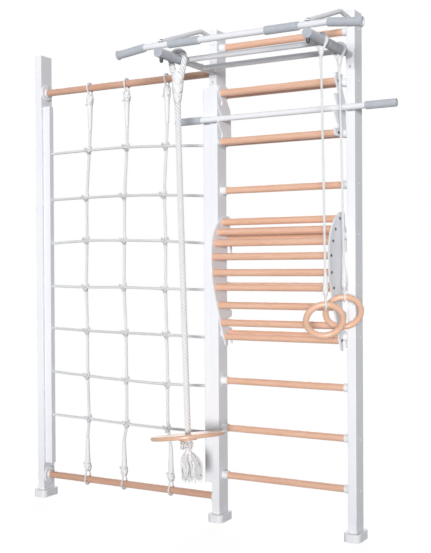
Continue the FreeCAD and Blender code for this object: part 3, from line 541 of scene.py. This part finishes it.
def eye_route(centre, side, along, reach, neck, spread):
    """The loop of an eye round a bar, from the tail's neck to the neck that the rope leaves by."""
    octagon_share = math.tan(math.pi / 8)
    out = side * reach
    back = along * reach
    return [
        centre + side * spread + along * neck,
        centre + out + back * eye_waist_share,
        centre + out - back * octagon_share,
        centre + out * octagon_share - back,
        centre - out * octagon_share - back,
        centre - out - back * octagon_share,
        centre - out + back * eye_waist_share,
        centre - side * spread + along * neck,
    ]


# Materials used by several pieces
steel = painted_steel()
plastic = white_plastic()
wood = beech("beech_along_x")
aged_wood = beech("beech_net_bars", depth=0.80)
foam_look = foam_material()
upright_look = rope_material("net_upright_fibre", (0.97, 0.97, 0.975), gap_shade=0.45,
                             deep=0.60, shallow=0.82, hollow_shade=0.85)
level_look = rope_material("net_level_fibre", (0.90, 0.905, 0.92), gap_shade=0.07,
                           deep=0.68, shallow=0.99)
knot_look = rope_material("net_knot_fibre", (0.95, 0.95, 0.955), gap_shade=0.35,
                          hollow_shade=0.10, hollow=0.026)
ring_rope_look = rope_material("ring_rope_fibre", (0.97, 0.97, 0.975), gap_shade=0.70,
                               hollow_shade=0.85)
climb_rope_look = rope_material("climbing_rope_fibre", (0.98, 0.98, 0.99), yarns=5.0,
                                gap_shade=0.18, deep=0.66, shallow=0.92, hollow_shade=0.7)
tassel_look = rope_material("tassel_fibre", white, gap_shade=0.95, deep=0.60,
                            shallow=0.80, hollow_shade=0.98, hollow=0.004)
zinc = bolt_metal("zinc_plated", (0.55, 0.56, 0.58), (0.74, 0.75, 0.77), metallic=1.0,
                  grain_scale=260.0, rough_scale=700.0, least_rough=0.2)
black = bolt_metal("black_oxide", (0.05, 0.05, 0.06), (0.11, 0.11, 0.12), metallic=0.7,
                   grain_scale=300.0, rough_scale=600.0, least_rough=0.3)


# Net


def crossing(row, column, y=0):
    """The place of a knot, or of a rope that passes it at 'y'."""
    x = -column_shares[column] * net_width + slack_x_shares[row][column] * net_row_pitch
    z = net_row_low + (row + slack_z_shares[row][column]) * net_row_pitch
    return x, y, z


def column_ends(column):
    """The middles of an upright's two eyes, on the axes of the bars."""
    x = -column_shares[column] * net_width
    top = Vector((x + column_top_shares[column] * net_row_pitch, 0, net_bar_high))
    bottom = Vector((x + column_bottom_shares[column] * net_row_pitch, 0, net_bar_low))
    return top, bottom


# Shares of an upright's diameter, by the distance in metres from the rope's end
upright_fullness_shares = [(0, 0.35), (0.14, 0.80), (0.33, 0.80), (0.45, 1.35)]
level_fullness_share = 1.15
tail_spread_share = 0.8
standing_spread_share = 0.3


def net_uprights():
    tail = y_axis * net_eye_spread * tail_spread_share
    standing = y_axis * net_eye_spread * standing_spread_share
    for column in range(len(column_shares)):
        top, bottom = column_ends(column)
        route = [top + tail + down * net_eye_tail]
        route += eye_route(top, y_axis, down, net_eye_reach, net_top_neck, net_eye_spread)
        route.append(top - standing + down * net_eye_tail)
        route.append(top + down * (net_eye_tail + net_eye_join))
        for row in reversed(range(len(slack_x_shares))):
            route.append(Vector(crossing(row, column)))
        route.append(bottom + up * (net_eye_tail + net_eye_join))
        route.append(bottom - standing + up * net_eye_tail)
        route += reversed(eye_route(bottom, y_axis, up, net_eye_reach, net_bottom_neck,
                                    net_eye_spread))
        route.append(bottom + tail + up * net_eye_tail)
        line = evenly(read_route(route), step=0.004)
        along = travelled(line)
        from_end = np.minimum(along, along[-1] - along)
        fullness = between(from_end, upright_fullness_shares)
        shape = Shape()
        shape.plait(line, net_upright_diameter * fullness, pairs=4, lay=0.112, sides=6, phase=column)
        piece = shape.make("net_upright_%d" % (column + 1), upright_look)
        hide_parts("net_rope_vertical_%d" % (column + 1))
        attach(piece, "frame")


def net_levels():
    shape = Shape()
    rail_inside = post_half_width + rail_width - net_level_bite
    for row in range(len(slack_x_shares)):
        left_z, right_z = [net_row_low + (row + share) * net_row_pitch
                           for share in level_end_shares[row]]
        route = [Vector((rail_inside - net_width, net_level_y, left_z))]
        for column in range(len(column_shares)):
            route.append(Vector(crossing(row, column, net_level_y)))
        route.append(Vector((-rail_inside, net_level_y, right_z)))
        line = evenly(read_route(route), step=0.0037)
        shape.plait(line, net_level_diameter * level_fullness_share, pairs=2, lay=0.044, sides=6,
                    phase=row)
    piece = shape.make("net_levels", level_look)
    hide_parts("net_rope_horizontals")
    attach(piece, "frame")


# A knot's run round a crossing, in millimetres from the crossing's middle
knot_route = [
    (-2, 9, -15), (-13, 3, -11), (-19, -8, -1), (-18, -17, 9), (-9, -24, 14), (2, -25, 6),
    (11, -24, -4), (13, -15, -13), (6, 0, -17), (-3, 11, -9), (-8, 12, 4), (0, 10, 15),
    (12, 1, 16), (20, -9, 9), (19, -18, 0), (11, -24, -10), (1, -20, -17), (-4, -8, -18),
]
knot_tilt_limit = 9
knot_size_limit_shares = (0.97, 1.06)
knot_shift_limit = 0.8
knot_rope_diameter = 0.0098
knot_rope_lay = 0.030


def net_knots():
    rng = random.Random(5)
    shape = Shape()
    for row in range(len(slack_x_shares)):
        for column in range(len(column_shares)):
            x, y, z = crossing(row, column)
            tilt = math.radians(rng.uniform(-knot_tilt_limit, knot_tilt_limit))
            size = rng.uniform(*knot_size_limit_shares)
            route = []
            for dx, dy, dz in knot_route:
                dx += rng.uniform(-knot_shift_limit, knot_shift_limit)
                dz += rng.uniform(-knot_shift_limit, knot_shift_limit)
                turned_x = dx * math.cos(tilt) - dz * math.sin(tilt)
                turned_z = dx * math.sin(tilt) + dz * math.cos(tilt)
                route.append(Vector((x + turned_x * size * mm, y + dy * mm,
                                     z + turned_z * size * mm)))
            line = evenly(read_route(route), step=0.0028)
            shape.rope(line, knot_rope_diameter, count=3, lay=knot_rope_lay, sides=6,
                       phase=row + column)
    for column in range(len(column_shares)):
        top, bottom = column_ends(column)
        splice_eye(shape, top, down, net_top_neck, net_top_turns, rng)
        splice_eye(shape, bottom, up, net_bottom_neck, net_bottom_turns, rng)
    piece = shape.make("net_bindings", knot_look)
    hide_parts("net_knots")
    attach(piece, "frame")


# An eye's splice, its two short tails, and the sleeve that tapers from it to the rope
splice_overlap = 0.004
splice_width = 0.024
splice_bulge = 0.017
splice_lump_share = 0.05
splice_lay = 0.088
splice_tail_diameter = 0.0062
splice_tail_lay = 0.020
# Rows of (sideways, outward, distance from the splice's end) down a tail; 'lift' moves only its tip
splice_tail_rows = [(0.012, -0.010, -0.012), (0.020, -0.012, -0.006), (0.021, -0.009, 0.004)]
splice_tail_lift = 0.006
sleeve_overlap = 0.006
sleeve_past_tail = 0.035
sleeve_radius = 0.0146
sleeve_taper = 0.0052
sleeve_ripple = 0.0003
sleeve_row_count = 22


def splice_eye(shape, centre, along, neck, turns, rng):
    """The tucked strands round an eye's two legs, and the smooth sleeve that tapers to the rope."""
    start = neck + net_upright_diameter / 2 - splice_overlap
    end = start + net_winding_pitch * turns
    line = evenly(np.array([centre + along * start, centre + along * end]), step=0.0022)
    share = travelled(line) / (end - start)
    bulge = np.sin(math.pi * np.clip(share * 0.9 + 0.06, 0, 1)) ** 0.7
    lumps = 1 + splice_lump_share * np.sin(share * 2 * math.pi * turns + rng.uniform(0, 6))
    shape.plait(line, splice_width + splice_bulge * bulge * lumps, pairs=3, lay=splice_lay, sides=8,
                phase=rng.uniform(0, 2), thickness_share=0.40)
    for side in (-1, 1):
        tail = [centre + x_axis * side * sideways + y_axis * outward + along * (end + distance)
                for sideways, outward, distance in splice_tail_rows]
        tail[-1] += along * splice_tail_lift * side
        shape.rope(evenly(read_route(tail), step=0.002), splice_tail_diameter, count=3,
                   lay=splice_tail_lay, sides=6)
    sleeve_start = end - sleeve_overlap
    sleeve_length = net_eye_tail + sleeve_past_tail - sleeve_start
    rows = []
    for i in range(sleeve_row_count + 1):
        share = i / sleeve_row_count
        radius = sleeve_radius - sleeve_taper * share ** 0.8 + sleeve_ripple * math.sin(i * 2.3)
        rows.append((sleeve_start + sleeve_length * share, radius))
    shape.lathe(centre, along, rows, sides=18, wobble=0.0002, seed=7)


# Foam grips

foam_round_share = 0.45
foam_round_steps = 6
foam_row_gap = 0.012
foam_inside_depth = 0.004
foam_clearance = 0.0002
left_grip_front = 0.535
left_grip_length = 0.200
right_grip_front = 0.520
right_grip_length = 0.190
right_grip_gap = 0.005
right_rear_grip_length = 0.200
bar_grip_wall = 0.0045
grip_ring_wall = 0.003
grip_ring_length = 0.008
inner_grip_start = 0.158
inner_grip_length = 0.154
bar_half_straight = 0.432
bar_end_length = 0.155
bar_bend_radius = 0.060
bar_droop = math.radians(7)
press_middle_offset = 0.015
press_half_length = 0.560
press_grip_diameter = 0.036
press_grip_length = 0.142


def foam_rows(length, inner, outer, closed_start):
    """A sleeve's section, from its inner start edge round the outside to its inner end edge."""
    round_off = min(outer - inner, length) * foam_round_share
    rows = [(0.0, 0.0 if closed_start else inner), (0.0, outer - round_off)]
    for i in range(1, foam_round_steps + 1):
        angle = math.pi / 2 * i / foam_round_steps
        rows.append((round_off * (1 - math.cos(angle)), outer - round_off + round_off * math.sin(angle)))
    steps = max(2, int(length / foam_row_gap))
    for i in range(1, steps):
        share = i / steps
        rows.append((round_off + (length - 2 * round_off) * share, outer))
    for i in range(foam_round_steps + 1):
        angle = math.pi / 2 * i / foam_round_steps
        rows.append((length - round_off * (1 - math.sin(angle)),
                     outer - round_off + round_off * math.cos(angle)))
    rows.append((length, inner))
    rows.append((length - foam_inside_depth, inner))
    return rows


def foam_piece(name, sleeves, node, body):
    """Foam sleeves from (start, end, inner diameter, outer diameter, closed start) rows."""
    shape = Shape()
    for i, (start, end, inner, outer, closed) in enumerate(sleeves):
        along = Vector(end) - Vector(start)
        rows = foam_rows(along.length, inner / 2, outer / 2, closed)
        shape.lathe(start, along, rows, sides=40, wobble=0.00012, seed=i + 3)
    piece = shape.make(name, foam_look)
    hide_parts(node)
    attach(piece, body)


def arm_sleeve(x, front, length, closed):
    """A foam sleeve on an arm, from its front end back."""
    return ((x, -front, arm_height), (x, length - front, arm_height), arm_diameter + foam_clearance,
            foam_diameter, closed)


def foam_grips():
    foam_piece("foam_grip_left", [arm_sleeve(0, left_grip_front, left_grip_length, True)],
               "grip_neutral_left", "frame")
    rear_front = right_grip_front - right_grip_length - right_grip_gap
    foam_piece("foam_grips_right", [
        arm_sleeve(ladder_width, right_grip_front, right_grip_length, False),
        arm_sleeve(ladder_width, rear_front, right_rear_grip_length, False),
    ], "grip_neutral_right", "frame")
    bore = bar_diameter + foam_clearance
    grip = bore + 2 * bar_grip_wall
    inner = []
    outer = []
    for side in (-1, 1):
        near = Vector((bar_middle_x + side * inner_grip_start, bar_y, bar_z))
        inner.append((near, near + x_axis * side * inner_grip_length, bore, grip, False))
        bend = Vector((bar_middle_x + side * bar_half_straight, bar_y, bar_z))
        along = Vector((side * math.cos(bar_droop), 0, -math.sin(bar_droop)))
        tip = bend + along * bar_end_length
        start = bend + along * bar_bend_radius * math.tan(bar_droop)
        ring_start = tip - along * grip_ring_length
        outer.append((start, ring_start, bore, grip, False))
        outer.append((ring_start, tip, bore, grip + 2 * grip_ring_wall, False))
    foam_piece("foam_grips_inner", inner, "grips_inner", "frame")
    foam_piece("foam_grips_outer", outer, "grips_outer", "frame")
    middle_x = bar_middle_x + press_middle_offset
    low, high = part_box("press_bar")
    y = (low.y + high.y) / 2
    z = (low.z + high.z) / 2
    press_sleeves = []
    for side in (-1, 1):
        end = Vector((middle_x + side * press_half_length, y, z))
        press_sleeves.append((end, end - x_axis * side * press_grip_length, bore,
                              press_grip_diameter, False))
    foam_piece("foam_grips_press_bar", press_sleeves, "press_grips", "press_bar")


# Rings' ropes

ring_rope_diameter = 0.0105
ring_middle_radius = 0.0775
ring_section = 0.027
ring_turn = math.radians(29.6)
ring_tilt = math.radians(30)
ring_side = 0.0017
hang_clearance = 0.0003
leg_gap = 0.0005
ring_top_neck = 0.042
ring_top_join = 0.080
ring_low_neck = 0.048
ring_low_join = 0.088
ring_rope_lay = 0.032
# Shares of the rope's diameter, by the distance in metres from its upper end
ring_rope_fullness_shares = [(0, 1.0), (0.05, 1.4), (0.19, 1.4), (0.27, 1.0)]

# The bindings below the grip and above the ring, and the ball that the lower one hides
top_binding_start = 0.031
top_binding_length = 0.040
low_binding_start = 0.052
low_binding_length = 0.080
binding_width = 0.025
binding_end_width = 0.0115
binding_lay = 0.060
binding_width_shares = [(0, 0.8), (0.12, 1.0), (0.55, 0.88)]
ball_height = 0.048
ball_turns = 3
ball_steps = 10
ball_radius = 0.0085
ball_radius_shift = 0.0006
ball_lift = 0.0075
ball_rope_diameter = 0.0085
ball_rope_lay = 0.026


def ring_rope(which, reach, forward, drop, body):
    across = Vector((math.cos(ring_turn), math.sin(ring_turn), 0))
    rise = Vector((math.sin(ring_turn) * math.sin(ring_tilt),
                   -math.cos(ring_turn) * math.sin(ring_tilt), math.cos(ring_tilt)))
    centre = Vector((ladder_width - ring_side, -reach - forward, arm_height - drop))
    hanger = Vector((ladder_width, -reach, arm_height))
    held = centre + rise * ring_middle_radius
    spread = (ring_rope_diameter + leg_gap) / 2
    top_reach = (foam_diameter + ring_rope_diameter) / 2 + hang_clearance
    low_reach = (ring_section + ring_rope_diameter) / 2 + hang_clearance
    route = eye_route(hanger, x_axis, down, top_reach, ring_top_neck, spread)
    route += [hanger + down * ring_top_join, held + up * ring_low_join]
    route += reversed(eye_route(held, across.cross(up), up, low_reach, ring_low_neck, spread))
    line = evenly(read_route(route), step=0.0028)
    fullness = between(travelled(line), ring_rope_fullness_shares)
    shape = Shape()
    shape.rope(line, ring_rope_diameter * fullness, count=3, lay=ring_rope_lay, sides=8)
    rope = shape.make("ring_rope_strands_" + which, ring_rope_look)
    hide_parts("ring_rope_" + which)
    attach(rope, body)
    binding = Shape()
    bind_ring_rope(binding, hanger + down * top_binding_start, down, top_binding_length)
    bind_ring_rope(binding, held + up * low_binding_start, up, low_binding_length)
    wind_ball(binding, held + up * ball_height)
    bound = binding.make("ring_rope_bindings_" + which, ring_rope_look)
    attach(bound, body)


def bind_ring_rope(shape, start, along, length):
    """A plaited binding round the doubled rope, slimmer toward its end."""
    line = evenly(np.array([start, start + along * length]), step=0.002)
    width_rows = [(share, binding_width * width) for share, width in binding_width_shares]
    width_rows.append((1, binding_end_width))
    diameter = between(travelled(line) / length, width_rows)
    shape.plait(line, diameter, pairs=3, lay=binding_lay, sides=8, thickness_share=0.36)


def wind_ball(shape, middle):
    """A rope end wound round the doubled rope into a small ball."""
    rng = random.Random(9)
    route = []
    for i in range(ball_turns * ball_steps + 1):
        angle = 2 * math.pi * i / ball_steps
        reach = ball_radius + rng.uniform(-ball_radius_shift, ball_radius_shift)
        lift = ball_lift * math.sin(angle * 0.5 + 0.6)
        route.append(middle + Vector((math.cos(angle) * reach, math.sin(angle) * reach, lift)))
    line = evenly(read_route(route), step=0.0025)
    shape.rope(line, ball_rope_diameter, count=3, lay=ball_rope_lay, sides=7)


# Climbing rope, its splice and its knot

climb_diameter = 0.028
climb_reach = 0.368
climb_neck = 0.091
climb_join = 0.166
climb_lay = 0.070
seat_place = Vector((0, -0.298, 0.457))
climb_bend = Vector((0, -0.372, 1.900))
seat_roll = math.radians(7.9)
seat_tip = math.radians(4.1)
washer_underside = 0.0213
end_step = 0.010
end_step_count = 11
climb_splice_start = 0.062
climb_splice_above_bend = 0.075
climb_splice_lay = 0.125
# Widths in metres, by the share of the splice's length
climb_splice_widths = [(0, 0.044), (0.12, 0.054), (0.35, 0.056), (0.55, 0.050), (1, 0.031)]
tassel_drop = 0.047
stopper_drop = 0.0215
stopper_shift = Vector((-0.010, -0.004, 0))
stopper_rope_diameter = 0.0215
stopper_rope_lay = 0.062
stopper_size = 0.0082
stopper_half_height = 0.0090
stopper_steps = 96


def climbing_rope():
    hanger = Vector((0, -climb_reach, arm_height))
    reach = (foam_diameter + climb_diameter) / 2 + hang_clearance
    route = eye_route(hanger, x_axis, down, reach, climb_neck, (climb_diameter + leg_gap) / 2)
    rope_up = (climb_bend - seat_place).normalized()
    seat_up = Vector((-math.tan(seat_roll), math.tan(seat_tip), 1)).normalized()
    lowest = seat_place - rope_up * washer_underside / rope_up.dot(seat_up)
    route += [hanger + down * climb_join, climb_bend, lowest]
    core = [lowest - rope_up * (end_step * i) for i in range(1, end_step_count + 1)]
    line = evenly(np.concatenate([read_route(route), np.array(core)]), step=0.0045)
    shape = Shape()
    shape.rope(line, climb_diameter, count=4, lay=climb_lay, sides=12, hand=-1)
    rope = shape.make("climbing_rope_strands", climb_rope_look)
    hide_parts("climbing_rope")
    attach(rope, "climbing_rope")
    bound = climbing_rope_splice(hanger)
    knot = rope_knot(lowest, rope_up)
    tassel = rope_tassel(lowest - rope_up * tassel_drop, rope_up)


def climbing_rope_splice(hanger):
    """The strands tucked round the eye's legs, slimmer toward the single rope."""
    middle = evenly(np.array([hanger + down * climb_splice_start,
                              climb_bend + up * climb_splice_above_bend]), step=0.003)
    share = travelled(middle) / travelled(middle)[-1]
    shape = Shape()
    shape.plait(middle, between(share, climb_splice_widths), pairs=3, lay=climb_splice_lay, sides=10,
                phase=0.7, thickness_share=0.38)
    bound = shape.make("climbing_rope_splice", climb_rope_look)
    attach(bound, "climbing_rope")
    return bound


def rope_knot(lowest, rope_up):
    """A stopper knot under the washer, on the line of a trefoil."""
    other = rope_up.cross(x_axis)
    centre = lowest - rope_up * stopper_drop + stopper_shift
    line = []
    for i in range(stopper_steps + 1):
        t = 2 * math.pi * i / stopper_steps
        u = stopper_size * (math.sin(t) + 2 * math.sin(2 * t))
        v = stopper_size * (math.cos(t) - 2 * math.cos(2 * t))
        w = -stopper_half_height * math.sin(3 * t)
        line.append(centre + x_axis * u + other * v + rope_up * w)
    shape = Shape()
    shape.rope(evenly(np.array(line, float), step=0.004), stopper_rope_diameter, count=4,
               lay=stopper_rope_lay, sides=10, hand=-1)
    piece = shape.make("stopper_knot", climb_rope_look)
    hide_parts("rope_knot")
    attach(piece, "climbing_rope")
    return piece


# Tassel

# The solid heart that the yarns hide, as (distance below the neck, radius) rows
tassel_core = [
    (0.0, 0.0), (0.004, 0.0115), (0.014, 0.0125), (0.026, 0.022), (0.045, 0.030),
    (0.070, 0.032), (0.095, 0.029), (0.112, 0.020), (0.118, 0.0),
]
yarn_count = 110
yarn_turns = 7
yarn_layers = 4
yarn_length = 0.124
yarn_bulge = 0.026
yarn_layer_bulge = 0.019
yarn_bulge_shift = 0.003
yarn_sway = 0.004
yarn_wave = 0.006
yarn_drift = Vector((0.010, 0.005, 0))
yarn_crimp = 0.0008
yarn_radius = 0.0036
yarn_end_radius = 0.0030
yarn_tip_radius = 0.0012
yarn_lay = 0.018
hairs_per_yarn = 2
hair_radius = 0.0009
neck_ring_radius = 0.0150
neck_ring_pitch = 0.0035
neck_ring_turns = 3
neck_ring_steps = 12
neck_ring_wire_radius = 0.0022


def rope_tassel(top, rope_up):
    """The rope's unlaid yarns, bulging out below a narrow neck."""
    rng = random.Random(11)
    shape = Shape()
    other = rope_up.cross(x_axis)
    shape.lathe(top, -rope_up, tassel_core, sides=20, wobble=0.0012, seed=4)
    for i in range(yarn_count):
        angle = 2 * math.pi * i / yarn_count * yarn_turns
        layer = (i % yarn_layers) / (yarn_layers - 1)
        bulge = yarn_bulge + yarn_layer_bulge * layer + rng.uniform(-yarn_bulge_shift, yarn_bulge_shift)
        to_right = math.cos(angle)
        bulge *= 1.10 if to_right > 0.2 else 0.94
        length = yarn_length + rng.uniform(-0.012, 0.010)
        spoke = x_axis * math.cos(angle) + other * math.sin(angle)
        sway = x_axis * rng.uniform(-yarn_sway, yarn_sway) + other * rng.uniform(-yarn_sway, yarn_sway)
        wave = yarn_wave * math.sin(angle * 3 + 1.0) if to_right < 0 else 0.0
        route = [
            top + spoke * 0.008 + rope_up * 0.006,
            top + spoke * 0.012 - rope_up * 0.010,
            top + spoke * bulge * 0.58 - rope_up * 0.019,
            top + spoke * (bulge * 0.96 + wave) - rope_up * 0.038,
            top + spoke * bulge * 1.06 + sway + yarn_drift * 0.7 - rope_up * 0.062,
            top + spoke * (bulge * 1.04 - wave) - sway + yarn_drift - rope_up * (length - 0.030),
            top + spoke * bulge * (1.02 + rng.uniform(-0.08, 0.10)) + sway + yarn_drift
            - rope_up * length,
        ]
        line = evenly(read_route(route), step=0.006)
        crimp = np.array([[math.sin(k * 1.7 + i), math.cos(k * 1.3 + i * 2), 0]
                          for k in range(len(line))])
        line = line + crimp * yarn_crimp
        radius = np.linspace(yarn_radius, yarn_end_radius, len(line))
        radius[-1] = yarn_tip_radius
        shape.rope(line, radius * 2, count=2, lay=yarn_lay, sides=5, phase=i)
        for k in range(hairs_per_yarn):
            tip = Vector(line[-1])
            hair = [tip + rope_up * 0.006, tip - rope_up * 0.004 + sway * 0.4,
                    tip - rope_up * rng.uniform(0.006, 0.013) + spoke * rng.uniform(-0.004, 0.005)
                    + sway * rng.uniform(-0.8, 0.8)]
            shape.tube(evenly(read_route(hair), step=0.004), hair_radius, sides=4)
    ring = []
    for k in range(neck_ring_turns * neck_ring_steps + 1):
        angle = 2 * math.pi * k / neck_ring_steps
        spoke = x_axis * math.cos(angle) + other * math.sin(angle)
        ring.append(top + spoke * neck_ring_radius
                    - rope_up * (0.001 + neck_ring_pitch * k / neck_ring_steps))
    shape.tube(evenly(read_route(ring), step=0.003), neck_ring_wire_radius, sides=6)
    piece = shape.make("rope_tassel_yarns", tassel_look)
    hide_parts("rope_tassel")
    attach(piece, "climbing_rope")
    return piece


# Finishes of the carried-over nodes


def paint(material, *names):
    for name in names:
        mesh = nodes[name].data
        mesh.materials.clear()
        mesh.materials.append(material)


def dress_frame():
    for kind in ("post", "arm", "rack_plate", "bench_plate"):
        paint(steel, kind + "_left", kind + "_right")
    paint(steel, "post_middle", "net_rails", "arm_plates", "front_bar", "cross_tube_front",
          "cross_tube_rear", "braces", "press_bar")
    paint(plastic, "feet", "post_caps", "rung_sleeves", "net_bar_flanges")
    paint(aged_wood, "net_bar_top", "net_bar_bottom")
    paint(wood, "rack_bar_upper", "rack_bar_lower", "bench_slats",
          *["rung_%02d" % (i + 1) for i in range(rung_count)])
    paint(zinc, "rung_bolts", "net_flange_bolts", "arm_screws")
    paint(black, "clamp_bolts", "rack_bar_screws", "bench_slat_screws")
    for which in ("front", "rear"):
        low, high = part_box("ring_" + which)
        look = beech("beech_ring_" + which, location=-(low + high) / 2, laminated=True, depth=1.12)
        paint(look, "ring_" + which)
    paint(beech("beech_seat"), "seat_disc")
    paint(beech("beech_washer", along=(0, 0, 0.6)), "seat_washer")


# Floor, light and background


def looked_at(tree):
    """1 where a surface is seen by the camera, in a reflection or through glass, otherwise 0."""
    path = tree.nodes.new("ShaderNodeLightPath")
    seen = path.outputs["Is Camera Ray"]
    for ray in ("Is Glossy Ray", "Is Transmission Ray"):
        either = tree.nodes.new("ShaderNodeMath")
        either.operation = "MAXIMUM"
        tree.links.new(seen, either.inputs[0])
        tree.links.new(path.outputs[ray], either.inputs[1])
        seen = either.outputs["Value"]
    return seen


floor_half_size = 14.0
floor_drop = 0.0004


def make_stage():
    """A floor that lights the object as grey, and is seen as white with the object's shadow."""
    mesh = bpy.data.meshes.new("floor")
    corners = [(x * floor_half_size, y * floor_half_size, 0)
               for x, y in ((-1, -1), (1, -1), (1, 1), (-1, 1))]
    mesh.from_pydata(corners, [], [(0, 1, 2, 3)])
    floor = bpy.data.objects.new("floor", mesh)
    floor.location.z = -floor_drop
    bpy.context.scene.collection.objects.link(floor)
    tree = Tree("pale_floor")
    tree.tree.nodes.remove(tree.shader)
    matte = tree.add("BsdfDiffuse")
    tree.put(matte, Color=(0.42, 0.42, 0.43, 1))
    glow = tree.add("Emission")
    tree.put(glow, Strength=0.86)
    pale = tree.add("BsdfDiffuse")
    tree.put(pale, Color=(0.30, 0.30, 0.30, 1))
    seen = tree.add("AddShader")
    tree.link(glow.outputs[0], seen.inputs[0])
    tree.link(pale.outputs[0], seen.inputs[1])
    choice = tree.add("MixShader")
    tree.link(looked_at(tree.tree), choice.inputs["Fac"])
    tree.link(matte.outputs[0], choice.inputs[1])
    tree.link(seen.outputs[0], choice.inputs[2])
    output = tree.tree.nodes["Material Output"]
    tree.link(choice.outputs[0], output.inputs["Surface"])
    mesh.materials.append(tree.material)


def background(tree, colour, strength):
    node = tree.nodes.new("ShaderNodeBackground")
    node.inputs["Color"].default_value = (*colour, 1)
    node.inputs["Strength"].default_value = strength
    return node.outputs[0]


def make_world():
    """Soft light from all round, in front of a white background."""
    world = bpy.data.worlds.new("studio")
    bpy.context.scene.world = world
    world.use_nodes = True
    tree = world.node_tree
    tree.nodes.clear()
    mix = tree.nodes.new("ShaderNodeMixShader")
    tree.links.new(looked_at(tree), mix.inputs["Fac"])
    tree.links.new(background(tree, (0.95, 0.965, 1.0), 0.32), mix.inputs[1])
    tree.links.new(background(tree, white, 1.0), mix.inputs[2])
    output = tree.nodes.new("ShaderNodeOutputWorld")
    tree.links.new(mix.outputs[0], output.inputs["Surface"])


def make_light(name, azimuth, elevation, strength, softness):
    """A far light; azimuth 0 is straight in front, and positive is to the right."""
    data = bpy.data.lights.new(name, "SUN")
    data.energy = strength
    data.angle = math.radians(softness)
    light = bpy.data.objects.new(name, data)
    a, e = math.radians(azimuth), math.radians(elevation)
    toward = Vector((math.sin(a) * math.cos(e), -math.cos(a) * math.cos(e), math.sin(e)))
    light.rotation_mode = "QUATERNION"
    light.rotation_quaternion = toward.to_track_quat("Z", "Y")
    bpy.context.scene.collection.objects.link(light)


make_camera()
climbing_rope()
ring_rope("front", reach=0.372, forward=-0.027, drop=1.167, body="ring_front")
ring_rope("rear", reach=0.173, forward=-0.036, drop=1.142, body="ring_rear")
net_uprights()
net_levels()
net_knots()
foam_grips()
dress_frame()
make_stage()
make_world()
make_light("key", azimuth=22, elevation=3, strength=2.6, softness=12)
make_light("fill", azimuth=205, elevation=25, strength=1.0, softness=40)
bpy.context.scene.view_settings.view_transform = "Standard"
